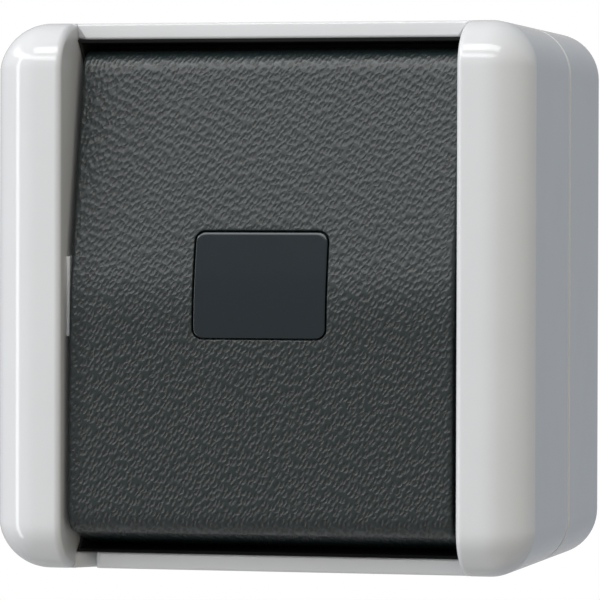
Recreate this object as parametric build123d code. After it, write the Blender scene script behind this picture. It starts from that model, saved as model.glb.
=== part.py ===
"""Surface-mounted rocker pushbutton switch in a splash-proof housing.

Frame: millimetres, X to the right, Z up, the wall at Y = 0 and the front
towards -Y. The origin is the middle of the back face. Heights off the wall
are written as plain lengths, so a height of h lies at Y = -h. The cover is
laid out by depths behind the front of its rails, and a depth of d lies at a
height of DEPTH - d.
"""
import os
from math import sqrt

from build123d import *

# Overall size
WIDTH = 75.0
HEIGHT = 75.0
DEPTH = 53.0
CORNER_R = 6.7          # upright corners of box and cover

# Rear box
WALL = 2.4              # side walls of box and cover
FLOOR = 2.4
BOX_DEPTH = 23.0        # from the wall to the box rim
BACK_CHAMFER = 0.5
SEAM_CHAMFER = 0.3
INNER_CORNER_R = CORNER_R - WALL

# Seam between box and cover, closed by a rubber ring
SEAM_GAP = 0.9
RIM_LAND = 1.1          # outer part of the rim, left of full height
SEAL_DROP = 1.2         # depth of the rebate that holds the ring
SEAL_FIT = 0.05
TONGUE_GAP = 0.3        # between the seal and the cover's locating tongue
TONGUE_THICK = 1.0
TONGUE_REACH = 2.2      # how far the tongue enters the box

# Cover rails and lips
RAIL_WIDTH = 10.0
RAIL_ROUND = 7.0        # rounding of the rail's outer edge
RAIL_ROUND_DEPTH = 4.8  # where that rounding meets the side wall
RAIL_END_RISE = 6.5     # height over which a rail's end curves back
RAIL_INNER_R = 0.9      # rounding of the edge beside the rocker
RAIL_SKIN = 2.0         # wall between rail hollow and rocker well
RAIL_FRONT_SKIN = 2.6
LIP_SETBACK = 7.9       # lips and rail ends, behind the rail front
LIP_THICK = 2.2
LIP_EDGE_R = 0.4
LIP_FACET_WIDTH = 1.5   # small facet where the upper lip meets a rail
LIP_FACET_DEPTH = 1.0
NOTCH_WIDTH = 2.8       # release notch in the lower lip, a ramp that ends in a step
NOTCH_DEPTH = 3.0
NOTCH_LEAD = 0.8        # the step's front edge is cut back over this length
PARTITION_DEPTH = 22.5  # floor of the rocker well
PARTITION_THICK = 1.6
RIB_THICK = 1.2
RAIL_RIB_PITCH = 22.0

# Rocker
SIDE_GAP = 0.75         # rocker to rail
TOP_GAP = 1.4           # rocker to lip
BOTTOM_GAP = 1.1
ROCKER_WALL = 1.8
ROCKER_SIDE_WALL = 1.6
ROCKER_BACK_DEPTH = 15.5
ROCKER_EDGE_R = 0.5
CREST_DEPTH = 1.9       # front of the lower half at the bend
LOWER_DEPTH = 1.4       # front of the lower half near its end
UPPER_END_DEPTH = 8.6   # upper half, at its end
BEND_R = 40.0
TOP_ROLL_R = 3.6
BOTTOM_ROLL_R = 2.6
BOTTOM_SLOPE_RISE = 2.5  # lower end, from its rolled edge back to the heel
BOTTOM_SLOPE_RUN = 10.8
BOTTOM_HEEL_R = 9.0

# Rocker pivot
PIVOT_DEPTH = 12.0
PIVOT_R = 2.0
PIVOT_PLAY = 0.05       # running fit, on the radius
PIVOT_BOSS_HEIGHT = 11.0
PIVOT_BOSS_PROUD = 0.45
PIVOT_BOSS_DEPTH = 3.4
PIVOT_PIN_END_GAP = 0.3
PIVOT_PAD_R = 4.0
PIVOT_PAD_THICK = 1.0

# Window in the rocker
WINDOW_WIDTH = 18.4
WINDOW_HEIGHT = 14.4
WINDOW_CORNER_R = 1.3
WINDOW_MID_Z = 1.7
WINDOW_PROUD = 0.10
WINDOW_THICK = 1.2
WINDOW_GAP = 0.2
LABEL_THICK = 0.25
POCKET_FLOOR = 1.2      # rocker wall left behind the label

# Pushing leg and plunger
LEG_Z = -14.0
LEG_WIDTH = 6.0
LEG_THICK = 3.0
LEG_RIB_LENGTH = 5.0
PLUNGER_R = 2.5
PLUNGER_TIP_DEPTH = 19.0
PLUNGER_TIP_R = 0.6
PUSH_GAP = 0.3          # leg to plunger, at rest
SLEEVE_PLAY = 0.05

# Rubber tray that lines the well
MEMBRANE_THICK = 0.8
MEMBRANE_EDGE_GAP = 0.3
TRAY_WALL = 0.35
TRAY_FIT = 0.05
TRAY_END_DEPTH = 8.3    # front edge of its walls at the lips
TRAY_SIDE_DEPTH = 11.0  # and along the rails
TRAY_CURVE_RISE = 3.1   # height over which the edge curves from one to the other
TRAY_CURVE_SAG = 0.3
COLLAR_HEIGHT = 1.0
COLLAR_WALL = 1.2
COLLAR_GAP = 0.3
PARTITION_PORT_R = 3.6

# Screws: M3 shank, cheese head with a cross or a slot
SCREW_R = 1.5
SCREW_HEAD_R = 2.8
SCREW_HEAD_HEIGHT = 2.0
SCREW_HOLE_PLAY = 0.2
SCREW_PILOT_PLAY = 0.05
SCREW_DRIVE_DEPTH = 1.0
SCREW_DRIVE_WIDTH = 0.8
POST_R = 3.5

COVER_SCREW_X = 14.0
COVER_SCREW_INSET = 4.2   # from the lip to the screw
COVER_SCREW_LENGTH = 20.0
COVER_POST_TOP = 20.0

# Wall fixing slots in the box floor
WALL_SLOT_INSET = 11.5  # from the outer faces to the slot
WALL_SLOT_LENGTH = 8.0
WALL_SLOT_R = 2.2

# Cable entries, top and bottom
ENTRY_HEIGHT = 11.0     # centre of the entry, off the wall
ENTRY_HOLE_R = 6.6
ENTRY_RECESS_R = 8.5
ENTRY_RECESS_DEPTH = 1.3
ENTRY_WEB = 1.6
ENTRY_PAD_R = 9.2
CABLE_R = 4.5
GROMMET_FIT = 0.1
GROMMET_FLANGE = 1.2
GROMMET_NOSE = 2.2

# Steel yoke
YOKE_HEIGHT = 19.5      # back face, off the wall
YOKE_THICK = 1.2
YOKE_HALF_X = 22.0
YOKE_HALF_Z = 23.0
YOKE_EAR_X = 31.0
YOKE_EAR_Z = 8.0
YOKE_CORNER_R = 3.0
YOKE_SCREW_X = 27.0
YOKE_SCREW_LENGTH = 9.0
YOKE_SLOT_EXTRA = 2.5
YOKE_POST_GAP = 0.5     # round the posts of the cover screws
CLAW_HALF_Z = 6.0
CLAW_LENGTH = 9.5
CATCH_HALF_Z = 2.5
CATCH_HEIGHT = 3.0
CATCH_PROUD = 0.9

# Switch socket
SOCKET_HALF_X = 20.0
SOCKET_HALF_Z = 21.0
SOCKET_BACK = 5.0
SOCKET_CORNER_R = 2.0
COVER_PLATE_HALF_X = 16.3
COVER_PLATE_HALF_Z = 19.3
COVER_PLATE_THICK = 2.5
COVER_PLATE_FIT = 0.2
SLEEVE_R = 4.5
SLEEVE_TOP = 27.0
TERMINAL_X = 12.0
TERMINAL_Z = 9.0
TERMINAL_WIDTH = 8.0
TERMINAL_LENGTH = 9.0
TERMINAL_HEIGHT = 8.0
TERMINAL_FIT = 0.3
WIRE_HOLE_R = 1.9
WIRE_HOLE_BACK = 2.5    # wire hole centre above the block's back
STRIP_THICK = 0.8
STRIP_WIDTH = 5.0
STRIP_BACK = 9.0
CHAMBER_HALF_X = 11.0
CHAMBER_HALF_Z = 4.3
RIVET_R = 1.5
RIVET_PLAY = 0.1
RIVET_HEAD_R = 2.6
RIVET_HEAD_HEIGHT = 0.8
RIVET_Z = (14.0, -4.0)

# Contacts
TIP_R = 1.7
TIP_THICK = 0.8
CONTACT_X = 7.2
CONTACT_GAP = 1.75
BRIDGE_WIDTH = 4.0
BRIDGE_THICK = 0.8
BRIDGE_OVERHANG = 2.2
CARRIER_HALF_X = 3.2
CARRIER_HALF_Z = 3.7
CARRIER_SILL = 1.6
CARRIER_TOP_GAP = 0.3
CARRIER_TOP_WALL = 1.4
BRIDGE_FIT = 0.15

# Springs
RETURN_SPRING_R = 2.2   # to the middle of the wire
RETURN_SPRING_WIRE_R = 0.25
RETURN_SPRING_TURNS = 4.5
RETURN_POCKET_R = 3.0
RETURN_POCKET_FLOOR = 1.5
CONTACT_SPRING_R = 1.4
CONTACT_SPRING_WIRE_R = 0.175
CONTACT_SPRING_TURNS = 4.5

# Earth terminal on the box floor
EARTH_INSET = 9.5       # from the left face to its middle
EARTH_Z = 13.0
EARTH_WIDTH = 7.0
EARTH_RIB = 1.0

# Worked out from the sizes above
COVER_BACK = BOX_DEPTH + SEAM_GAP
CHANNEL_HALF = WIDTH / 2 - RAIL_WIDTH
WELL_HALF_Z = HEIGHT / 2 - LIP_THICK
LIP_FRONT = DEPTH - LIP_SETBACK
PARTITION_FRONT = DEPTH - PARTITION_DEPTH
PARTITION_BACK = PARTITION_FRONT - PARTITION_THICK
PIVOT_HEIGHT = DEPTH - PIVOT_DEPTH
ROCKER_HALF = CHANNEL_HALF - SIDE_GAP
COVER_SCREW_Z = WELL_HALF_Z - COVER_SCREW_INSET
WALL_SLOT_X = WIDTH / 2 - WALL_SLOT_INSET
WALL_SLOT_Z = HEIGHT / 2 - WALL_SLOT_INSET
EARTH_X = EARTH_INSET - WIDTH / 2
ROCKER_TOP = WELL_HALF_Z - TOP_GAP
ROCKER_BOTTOM = -(WELL_HALF_Z - BOTTOM_GAP)
YOKE_FRONT = YOKE_HEIGHT + YOKE_THICK
COVER_PLATE_FRONT = YOKE_HEIGHT + COVER_PLATE_THICK
PLUNGER_TIP = DEPTH - PLUNGER_TIP_DEPTH
STRIP_FRONT = STRIP_BACK + STRIP_THICK
FIXED_TIP_FRONT = STRIP_FRONT + TIP_THICK
MOVING_TIP_BACK = FIXED_TIP_FRONT + CONTACT_GAP
BRIDGE_BACK = MOVING_TIP_BACK + TIP_THICK
BRIDGE_FRONT = BRIDGE_BACK + BRIDGE_THICK
CARRIER_BACK = BRIDGE_BACK - CARRIER_SILL
CARRIER_FRONT = YOKE_HEIGHT - CARRIER_TOP_GAP
CARRIER_WINDOW_FRONT = CARRIER_FRONT - CARRIER_TOP_WALL
SIDES = (1, -1)


def plate(width, height, back, front, corner=0.0, at=(0, 0)):
    """A plate parallel to the wall, between two heights off the wall."""
    outline = RectangleRounded(width, height, corner) if corner else Rectangle(width, height)
    return extrude(Plane.XZ.offset(back) * Pos(*at) * outline, front - back)


def disc(radius, back, front, at=(0, 0)):
    """A round bar square to the wall, between two heights off the wall."""
    return extrude(Plane.XZ.offset(back) * Pos(*at) * Circle(radius), front - back)


def slot(length, radius, back, front, at=(0, 0)):
    """A round-ended slot through a plate, `length` over its ends."""
    outline = Pos(*at) * SlotOverall(length, 2 * radius)
    return extrude(Plane.XZ.offset(back) * outline, front - back)


def block(x, z, back, front):
    """A plain block from its (low, high) limits in X and Z."""
    return plate(x[1] - x[0], z[1] - z[0], back, front, at=((x[0] + x[1]) / 2, (z[0] + z[1]) / 2))


def upright(radius, low, high, x, height_off_wall):
    """A round bar along Z."""
    return Pos(x, -height_off_wall, low) * extrude(Circle(radius), high - low)


def across(face, half):
    """Extrude a side view, drawn in Y and Z, evenly to both sides in X."""
    return extrude(Plane.YZ * face, half, both=True)


def screw(seat, length, at, slotted=False):
    """A cheese-head screw whose head sits at height `seat`, pointing at the wall."""
    head_top = seat + SCREW_HEAD_HEIGHT
    body = disc(SCREW_R, seat - length, seat, at)
    body = chamfer(body.edges().sort_by(Axis.Y)[-1], SCREW_R * 0.35)
    head = disc(SCREW_HEAD_R, seat, head_top, at)
    head = fillet(head.edges().sort_by(Axis.Y)[0], SCREW_HEAD_HEIGHT * 0.2)
    drive = plate(2 * SCREW_HEAD_R if slotted else SCREW_HEAD_R * 1.2, SCREW_DRIVE_WIDTH,
                  head_top - SCREW_DRIVE_DEPTH, head_top, at=at)
    if not slotted:
        drive += plate(SCREW_DRIVE_WIDTH, SCREW_HEAD_R * 1.2,
                       head_top - SCREW_DRIVE_DEPTH, head_top, at=at)
    return body + head - drive


def coil(radius, wire_r, turns, back, front, at):
    """A compression spring along Y whose end coils touch both heights."""
    rise = front - back - 2 * wire_r
    path = Helix(pitch=rise / turns, height=rise, radius=radius)
    section = Plane(path @ 0, z_dir=path % 0) * Circle(wire_r)
    place = Plane.XZ.offset(back + wire_r) * Pos(*at)
    return place * sweep(section, path)


def rail_path(end_depth):
    """A rail's upper half in side view: up the front, round the end and back."""
    knee_z = HEIGHT / 2 - RAIL_END_RISE
    edges = [Line((-DEPTH, 0), (-DEPTH, knee_z)),
             EllipticalCenterArc((-LIP_FRONT, knee_z), LIP_SETBACK, RAIL_END_RISE,
                                 start_angle=90, arc_size=90)]
    if end_depth > LIP_SETBACK:
        edges.append(Line((-LIP_FRONT, HEIGHT / 2), (end_depth - DEPTH, HEIGHT / 2)))
    return Plane.YZ * Wire(edges)


def edge_cutter(edge_x, reach, radius, end_depth, away):
    """What rounding an edge of the rails takes off, run along the rail path.

    The arc starts square to the front, `reach` before the edge, and has
    fallen by its own drop when it gets to the edge.
    """
    drop = radius - sqrt(radius ** 2 - reach ** 2)
    start_x = edge_x - away * reach
    beyond = edge_x + away
    arc = RadiusArc((start_x, -DEPTH), (edge_x, -DEPTH + drop), -away * radius)
    outline = Wire([
        arc,
        Line((edge_x, -DEPTH + drop), (beyond, -DEPTH + drop)),
        Line((beyond, -DEPTH + drop), (beyond, -DEPTH - 1)),
        Line((beyond, -DEPTH - 1), (start_x, -DEPTH - 1)),
        Line((start_x, -DEPTH - 1), (start_x, -DEPTH)),
    ])
    upper = sweep(Face(outline), rail_path(end_depth))
    return [upper, mirror(upper, Plane.XY)]


def make_rear_box():
    box = plate(WIDTH, HEIGHT, 0, BOX_DEPTH, CORNER_R)
    box = chamfer(box.faces().sort_by(Axis.Y)[-1].edges(), BACK_CHAMFER)
    box = chamfer(box.faces().sort_by(Axis.Y)[0].edges(), SEAM_CHAMFER)
    box -= plate(WIDTH - 2 * WALL, HEIGHT - 2 * WALL, FLOOR, BOX_DEPTH, INNER_CORNER_R)
    box -= plate(WIDTH - 2 * RIM_LAND, HEIGHT - 2 * RIM_LAND,
                 BOX_DEPTH - SEAL_DROP, BOX_DEPTH, CORNER_R - RIM_LAND)
    inner_z = HEIGHT / 2 - WALL
    web_z = HEIGHT / 2 - ENTRY_RECESS_DEPTH - ENTRY_WEB
    for side in SIDES:
        box += disc(POST_R, FLOOR, YOKE_HEIGHT, (side * YOKE_SCREW_X, 0))
        for turn in SIDES:
            fin = YOKE_SCREW_X + turn * (POST_R + RIB_THICK)
            box += block(sorted((side * YOKE_SCREW_X, side * fin)),
                         (-RIB_THICK / 2, RIB_THICK / 2), FLOOR, YOKE_HEIGHT / 2)
        post_at = (side * COVER_SCREW_X, side * COVER_SCREW_Z)
        box += disc(POST_R, FLOOR, COVER_POST_TOP, post_at)
        box += block((side * COVER_SCREW_X - RIB_THICK / 2, side * COVER_SCREW_X + RIB_THICK / 2),
                     sorted((side * COVER_SCREW_Z, side * inner_z)), FLOOR, COVER_POST_TOP)
        entry = sorted((side * web_z, side * inner_z))
        box += upright(ENTRY_PAD_R, *entry, 0, ENTRY_HEIGHT) & plate(
            WIDTH, HEIGHT, 0, BOX_DEPTH - SEAL_DROP)
    for side in SIDES:
        box -= disc(SCREW_R + SCREW_PILOT_PLAY, YOKE_HEIGHT - YOKE_SCREW_LENGTH - 1,
                    YOKE_HEIGHT, (side * YOKE_SCREW_X, 0))
        box -= disc(SCREW_R + SCREW_PILOT_PLAY, PARTITION_FRONT - COVER_SCREW_LENGTH - 1,
                    COVER_POST_TOP, (side * COVER_SCREW_X, side * COVER_SCREW_Z))
        box -= upright(ENTRY_HOLE_R, *sorted((side * (web_z - 1), side * HEIGHT / 2)),
                       0, ENTRY_HEIGHT)
        recess_z = HEIGHT / 2 - ENTRY_RECESS_DEPTH
        box -= upright(ENTRY_RECESS_R, *sorted((side * recess_z, side * HEIGHT / 2)),
                       0, ENTRY_HEIGHT)
        for other in SIDES:
            box -= slot(WALL_SLOT_LENGTH, WALL_SLOT_R, 0, FLOOR,
                        (side * WALL_SLOT_X, other * WALL_SLOT_Z))
    for side in SIDES:
        low = EARTH_X + side * EARTH_WIDTH / 2
        box += block(sorted((low, low + side * EARTH_RIB)),
                     (EARTH_Z - EARTH_WIDTH / 2, EARTH_Z + EARTH_WIDTH / 2),
                     FLOOR, FLOOR + EARTH_WIDTH / 2)
    return box


def make_box_seal():
    outer = RIM_LAND + SEAL_FIT
    ring = plate(WIDTH - 2 * outer, HEIGHT - 2 * outer,
                 BOX_DEPTH - SEAL_DROP, COVER_BACK, CORNER_R - outer)
    return ring - plate(WIDTH - 2 * WALL, HEIGHT - 2 * WALL,
                        BOX_DEPTH - SEAL_DROP, COVER_BACK, INNER_CORNER_R)


def cover_side_view():
    """Side view of the cover: full depth, with both ends of the rails curved back."""
    knee_z = HEIGHT / 2 - RAIL_END_RISE
    view = Pos(-(DEPTH + COVER_BACK) / 2, 0) * Rectangle(DEPTH - COVER_BACK, 2 * knee_z)
    view += Pos(-(LIP_FRONT + COVER_BACK) / 2, 0) * Rectangle(LIP_FRONT - COVER_BACK, HEIGHT)
    for side in SIDES:
        view += Pos(-LIP_FRONT, side * knee_z) * Ellipse(LIP_SETBACK, RAIL_END_RISE)
    return view


def lip_facet(side):
    """The corner cut off the upper lip's front beside a rail: a block split across its corners."""
    corner = Vector(side * CHANNEL_HALF, -LIP_FRONT, WELL_HALF_Z)
    across_x = Vector(-side * LIP_FACET_WIDTH, 0, 0)
    inward = Vector(0, LIP_FACET_DEPTH, 0)
    upward = Vector(0, 0, LIP_THICK)
    whole = block(sorted((corner.X, corner.X + across_x.X)), (WELL_HALF_Z, HEIGHT / 2),
                  LIP_FRONT - LIP_FACET_DEPTH, LIP_FRONT)
    normal = (inward - across_x).cross(upward - across_x) * side
    return split(whole, bisect_by=Plane(origin=corner + across_x, z_dir=normal), keep=Keep.TOP)


def make_cover_frame():
    cover = plate(WIDTH, HEIGHT, COVER_BACK, DEPTH, CORNER_R)
    cover = chamfer(cover.faces().sort_by(Axis.Y)[-1].edges(), SEAM_CHAMFER)
    cover &= across(cover_side_view(), WIDTH)
    reach = sqrt(RAIL_ROUND ** 2 - (RAIL_ROUND - RAIL_ROUND_DEPTH) ** 2)
    for piece in edge_cutter(WIDTH / 2, reach, RAIL_ROUND, DEPTH - COVER_BACK, 1):
        cover -= piece
        cover -= mirror(piece, Plane.YZ)

    # Two rails, joined by a lip above and below and by the floor of the well
    cover -= plate(2 * CHANNEL_HALF, HEIGHT + 2, COVER_BACK, DEPTH)
    for piece in edge_cutter(CHANNEL_HALF, RAIL_INNER_R, RAIL_INNER_R, LIP_SETBACK, -1):
        cover -= piece
        cover -= mirror(piece, Plane.YZ)
    for side in SIDES:
        lip = block((-CHANNEL_HALF - RAIL_SKIN, CHANNEL_HALF + RAIL_SKIN),
                    sorted((side * WELL_HALF_Z, side * HEIGHT / 2)), COVER_BACK, LIP_FRONT)
        lip_edges = lip.edges().filter_by(Axis.X)
        lip = fillet(lip_edges.sort_by(Axis.Y)[:2], LIP_EDGE_R)
        outer_back = lip.edges().filter_by(Axis.X).sort_by(Axis.Z)
        outer_back = outer_back[-2:] if side > 0 else outer_back[:2]
        cover += chamfer(outer_back.sort_by(Axis.Y)[-1], SEAM_CHAMFER)
    cover += plate(2 * (CHANNEL_HALF + RAIL_SKIN), 2 * (WELL_HALF_Z + LIP_THICK / 2),
                   PARTITION_BACK, PARTITION_FRONT)
    notch_x = -CHANNEL_HALF + NOTCH_WIDTH
    notch = Polygon((-CHANNEL_HALF, -LIP_FRONT), (-CHANNEL_HALF, -LIP_FRONT - 1),
                    (notch_x + NOTCH_LEAD, -LIP_FRONT - 1), (notch_x + NOTCH_LEAD, -LIP_FRONT),
                    (notch_x + NOTCH_LEAD / 3, -LIP_FRONT + NOTCH_LEAD / 3),
                    (notch_x, -LIP_FRONT + NOTCH_LEAD), (notch_x, -LIP_FRONT + NOTCH_DEPTH), align=None)
    cover -= Pos(0, 0, -HEIGHT / 2) * extrude(notch, LIP_THICK)
    for side in SIDES:
        cover -= lip_facet(side)

    # Hollow from behind, under the partition and inside both rails
    cover -= plate(WIDTH - 2 * WALL, HEIGHT - 2 * WALL, COVER_BACK, PARTITION_BACK, INNER_CORNER_R)
    hollow_low, hollow_high = CHANNEL_HALF + RAIL_SKIN, WIDTH / 2 - WALL
    hollow_mid = (hollow_low + hollow_high) / 2
    for side in SIDES:
        hollow = plate(hollow_high - hollow_low, HEIGHT - 2 * (WALL + RAIL_SKIN),
                       PARTITION_BACK, DEPTH - RAIL_FRONT_SKIN - RAIL_ROUND_DEPTH / 4, 1.5,
                       at=(side * hollow_mid, 0))
        for step in SIDES:
            hollow -= block(sorted((side * hollow_low, side * hollow_high)),
                            (step * RAIL_RIB_PITCH / 2 - RIB_THICK / 2,
                             step * RAIL_RIB_PITCH / 2 + RIB_THICK / 2), PARTITION_BACK, DEPTH)
        cover -= hollow

    # Tongue that locates the cover in the box
    outer = WALL + TONGUE_GAP
    inner = outer + TONGUE_THICK
    tongue = plate(WIDTH - 2 * outer, HEIGHT - 2 * outer,
                   BOX_DEPTH - TONGUE_REACH, PARTITION_BACK, CORNER_R - outer)
    tongue -= plate(WIDTH - 2 * inner, HEIGHT - 2 * inner,
                    BOX_DEPTH - TONGUE_REACH, PARTITION_BACK, CORNER_R - inner)
    tongue_root = plate(WIDTH - 2 * WALL, HEIGHT - 2 * WALL,
                        COVER_BACK + SEAM_GAP, PARTITION_BACK, INNER_CORNER_R)
    tongue_root -= plate(WIDTH - 2 * inner, HEIGHT - 2 * inner,
                         COVER_BACK + SEAM_GAP, PARTITION_BACK, CORNER_R - inner)
    for side in SIDES:
        tongue_root -= plate(hollow_high - hollow_low, HEIGHT - 2 * (WALL + RAIL_SKIN),
                             COVER_BACK, DEPTH, 1.5, at=(side * hollow_mid, 0))
    cover += tongue + tongue_root

    # Pivot bosses, screw tubes and the port for the plunger
    for side in SIDES:
        cover += block(sorted((side * (CHANNEL_HALF - PIVOT_BOSS_PROUD), side * CHANNEL_HALF)),
                       (-PIVOT_BOSS_HEIGHT / 2, PIVOT_BOSS_HEIGHT / 2),
                       PARTITION_FRONT, DEPTH - PIVOT_BOSS_DEPTH)
        bore_start = side * (CHANNEL_HALF - 2 * PIVOT_BOSS_PROUD)
        bore = Pos(bore_start, -PIVOT_HEIGHT, 0) * Rot(0, side * 90, 0) * extrude(
            Circle(PIVOT_R + PIVOT_PLAY), RAIL_SKIN + 3 * PIVOT_BOSS_PROUD)
        cover -= bore
        at = (side * COVER_SCREW_X, side * COVER_SCREW_Z)
        cover += disc(POST_R, COVER_POST_TOP, PARTITION_BACK, at)
        cover -= disc(SCREW_R + SCREW_HOLE_PLAY, COVER_POST_TOP, PARTITION_FRONT, at)
    cover -= disc(PARTITION_PORT_R, PARTITION_BACK, PARTITION_FRONT, (0, LEG_Z))
    return cover


def tray_side_view():
    """Side view of the well's lining: lower along the rails, and curved up to the lips."""
    end_z = WELL_HALF_Z - TRAY_FIT
    knee_z = end_z - TRAY_CURVE_RISE
    mid = (-DEPTH + (TRAY_END_DEPTH + TRAY_SIDE_DEPTH) / 2 + TRAY_CURVE_SAG, (end_z + knee_z) / 2)
    edges = [
        Line((-PARTITION_FRONT, -end_z), (TRAY_END_DEPTH - DEPTH, -end_z)),
        ThreePointArc((TRAY_END_DEPTH - DEPTH, -end_z), (mid[0], -mid[1]), (TRAY_SIDE_DEPTH - DEPTH, -knee_z)),
        Line((TRAY_SIDE_DEPTH - DEPTH, -knee_z), (TRAY_SIDE_DEPTH - DEPTH, knee_z)),
        ThreePointArc((TRAY_SIDE_DEPTH - DEPTH, knee_z), mid, (TRAY_END_DEPTH - DEPTH, end_z)),
        Line((TRAY_END_DEPTH - DEPTH, end_z), (-PARTITION_FRONT, end_z)),
        Line((-PARTITION_FRONT, end_z), (-PARTITION_FRONT, -end_z)),
    ]
    return Face(Wire(edges))


def make_seal_membrane():
    back = PARTITION_FRONT
    edge = MEMBRANE_EDGE_GAP
    outer_x, outer_z = CHANNEL_HALF - TRAY_FIT, WELL_HALF_Z - TRAY_FIT
    sheet = across(tray_side_view(), outer_x)
    sheet -= plate(2 * (outer_x - TRAY_WALL), 2 * (outer_z - TRAY_WALL), back + MEMBRANE_THICK, DEPTH)
    for side in SIDES:
        sheet -= block(sorted((side * (CHANNEL_HALF - PIVOT_BOSS_PROUD - edge), side * CHANNEL_HALF)),
                       (-PIVOT_BOSS_HEIGHT / 2 - edge, PIVOT_BOSS_HEIGHT / 2 + edge), back, DEPTH)
    sheet += disc(PLUNGER_R + COLLAR_GAP + COLLAR_WALL, back,
                  back + MEMBRANE_THICK + COLLAR_HEIGHT, (0, LEG_Z))
    sheet -= disc(PLUNGER_R + COLLAR_GAP, back, DEPTH, (0, LEG_Z))
    for side in SIDES:
        sheet -= disc(SCREW_HEAD_R + edge, back, DEPTH,
                      (side * COVER_SCREW_X, side * COVER_SCREW_Z))
    return sheet


def rocker_outline():
    """Side view of the rocker, drawn in Y and Z: a shallow roof with rolled ends."""
    def at(depth, z):
        return (depth - DEPTH, z)
    bend = at(CREST_DEPTH, 0)
    points = [
        at(ROCKER_BACK_DEPTH, ROCKER_TOP), at(UPPER_END_DEPTH, ROCKER_TOP), bend,
        at(LOWER_DEPTH, ROCKER_BOTTOM + BOTTOM_SLOPE_RISE),
        at(LOWER_DEPTH + BOTTOM_SLOPE_RUN, ROCKER_BOTTOM), at(ROCKER_BACK_DEPTH, ROCKER_BOTTOM),
    ]
    face = Polygon(*points, align=None)
    rounds = ((points[1], TOP_ROLL_R), (bend, BEND_R), (points[3], BOTTOM_ROLL_R),
              (points[4], BOTTOM_HEEL_R))
    for point, radius in rounds:
        corner = face.vertices().sort_by_distance(Vector(*point))[0]
        face = fillet(corner, radius)
    return face


def rocker_layer(inset, open_back=False):
    """The rocker's side view drawn in by `inset`, or out if it is negative."""
    face = offset(rocker_outline(), -inset, kind=Kind.INTERSECTION) if inset else rocker_outline()
    if open_back:
        face += Pos(inset + 1, 0) * face
    return face


def window_prism(grow):
    return plate(WINDOW_WIDTH + 2 * grow, WINDOW_HEIGHT + 2 * grow,
                 PIVOT_HEIGHT, DEPTH + 1, WINDOW_CORNER_R + grow, at=(0, WINDOW_MID_Z))


def make_rocker():
    rocker = across(rocker_outline(), ROCKER_HALF)
    side_edges = (rocker.faces().sort_by(Axis.X)[0].edges()
                  + rocker.faces().sort_by(Axis.X)[-1].edges())
    rocker = fillet(side_edges.sort_by(Axis.Y)[:-2], ROCKER_EDGE_R)
    inner = across(rocker_layer(ROCKER_WALL, open_back=True), ROCKER_HALF - ROCKER_SIDE_WALL)
    pad_inset = WINDOW_THICK - WINDOW_PROUD + LABEL_THICK + POCKET_FLOOR
    pad = window_prism(2.0) - across(rocker_layer(pad_inset, open_back=True), ROCKER_HALF)
    rocker -= inner - pad

    # Ribs and the leg that pushes the plunger
    solid_inside = across(rocker_layer(ROCKER_WALL / 2), ROCKER_HALF - ROCKER_SIDE_WALL / 2)
    rib_back = DEPTH - ROCKER_BACK_DEPTH + 2
    for side in SIDES:
        x = side * (WINDOW_WIDTH / 2 + 3.5)
        rib = block((x - RIB_THICK / 2, x + RIB_THICK / 2), (ROCKER_BOTTOM, ROCKER_TOP), rib_back, DEPTH)
        rocker += rib & solid_inside
        z = side * (WINDOW_HEIGHT / 2 + 5) + WINDOW_MID_Z
        rib = block((-ROCKER_HALF, ROCKER_HALF), (z - RIB_THICK / 2, z + RIB_THICK / 2), rib_back + 2, DEPTH)
        rocker += rib & solid_inside
    tip_front = PLUNGER_TIP + PUSH_GAP
    leg = block((-LEG_WIDTH / 2, LEG_WIDTH / 2),
                (LEG_Z - LEG_THICK / 2, LEG_Z + LEG_THICK / 2), tip_front, DEPTH - ROCKER_WALL - CREST_DEPTH)
    leg = fillet(leg.edges().filter_by(Axis.X).sort_by(Axis.Y)[-2:], LEG_THICK / 2 - 0.02)
    web = block((-RIB_THICK / 2, RIB_THICK / 2),
                (LEG_Z - LEG_RIB_LENGTH, LEG_Z + LEG_RIB_LENGTH), tip_front + 4, DEPTH)
    rocker += leg + (web & solid_inside)

    # Stub pivots, each with a pad inside the skirt
    for side in SIDES:
        skirt_inside = ROCKER_HALF - ROCKER_SIDE_WALL
        pin_end = CHANNEL_HALF + RAIL_SKIN - PIVOT_PIN_END_GAP
        start = Pos(side * (skirt_inside - PIVOT_PAD_THICK), -PIVOT_HEIGHT, 0) * Rot(0, side * 90, 0)
        pad = start * extrude(Circle(PIVOT_PAD_R), PIVOT_PAD_THICK + ROCKER_SIDE_WALL / 2)
        pad &= plate(WIDTH, HEIGHT, DEPTH - ROCKER_BACK_DEPTH, DEPTH)
        pin = start * extrude(Circle(PIVOT_R), pin_end - skirt_inside + PIVOT_PAD_THICK)
        pin_edges = pin.edges().sort_by(Axis.X)
        pin = chamfer(pin_edges[-1] if side > 0 else pin_edges[0], 0.4)
        rocker += pad + pin

    pocket_inset = WINDOW_THICK - WINDOW_PROUD + LABEL_THICK
    pocket = window_prism(WINDOW_GAP) - across(rocker_layer(pocket_inset), ROCKER_HALF)
    return rocker - pocket


def make_window_lens():
    lens = window_prism(0) & across(rocker_layer(-WINDOW_PROUD), ROCKER_HALF)
    return lens - across(rocker_layer(WINDOW_THICK - WINDOW_PROUD), ROCKER_HALF)


def make_label_insert():
    label = window_prism(-WINDOW_GAP) & across(rocker_layer(WINDOW_THICK - WINDOW_PROUD), ROCKER_HALF)
    return label - across(rocker_layer(WINDOW_THICK - WINDOW_PROUD + LABEL_THICK), ROCKER_HALF)


def make_cover_screws():
    return [screw(PARTITION_FRONT, COVER_SCREW_LENGTH, (side * COVER_SCREW_X, side * COVER_SCREW_Z))
            for side in SIDES]


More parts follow.
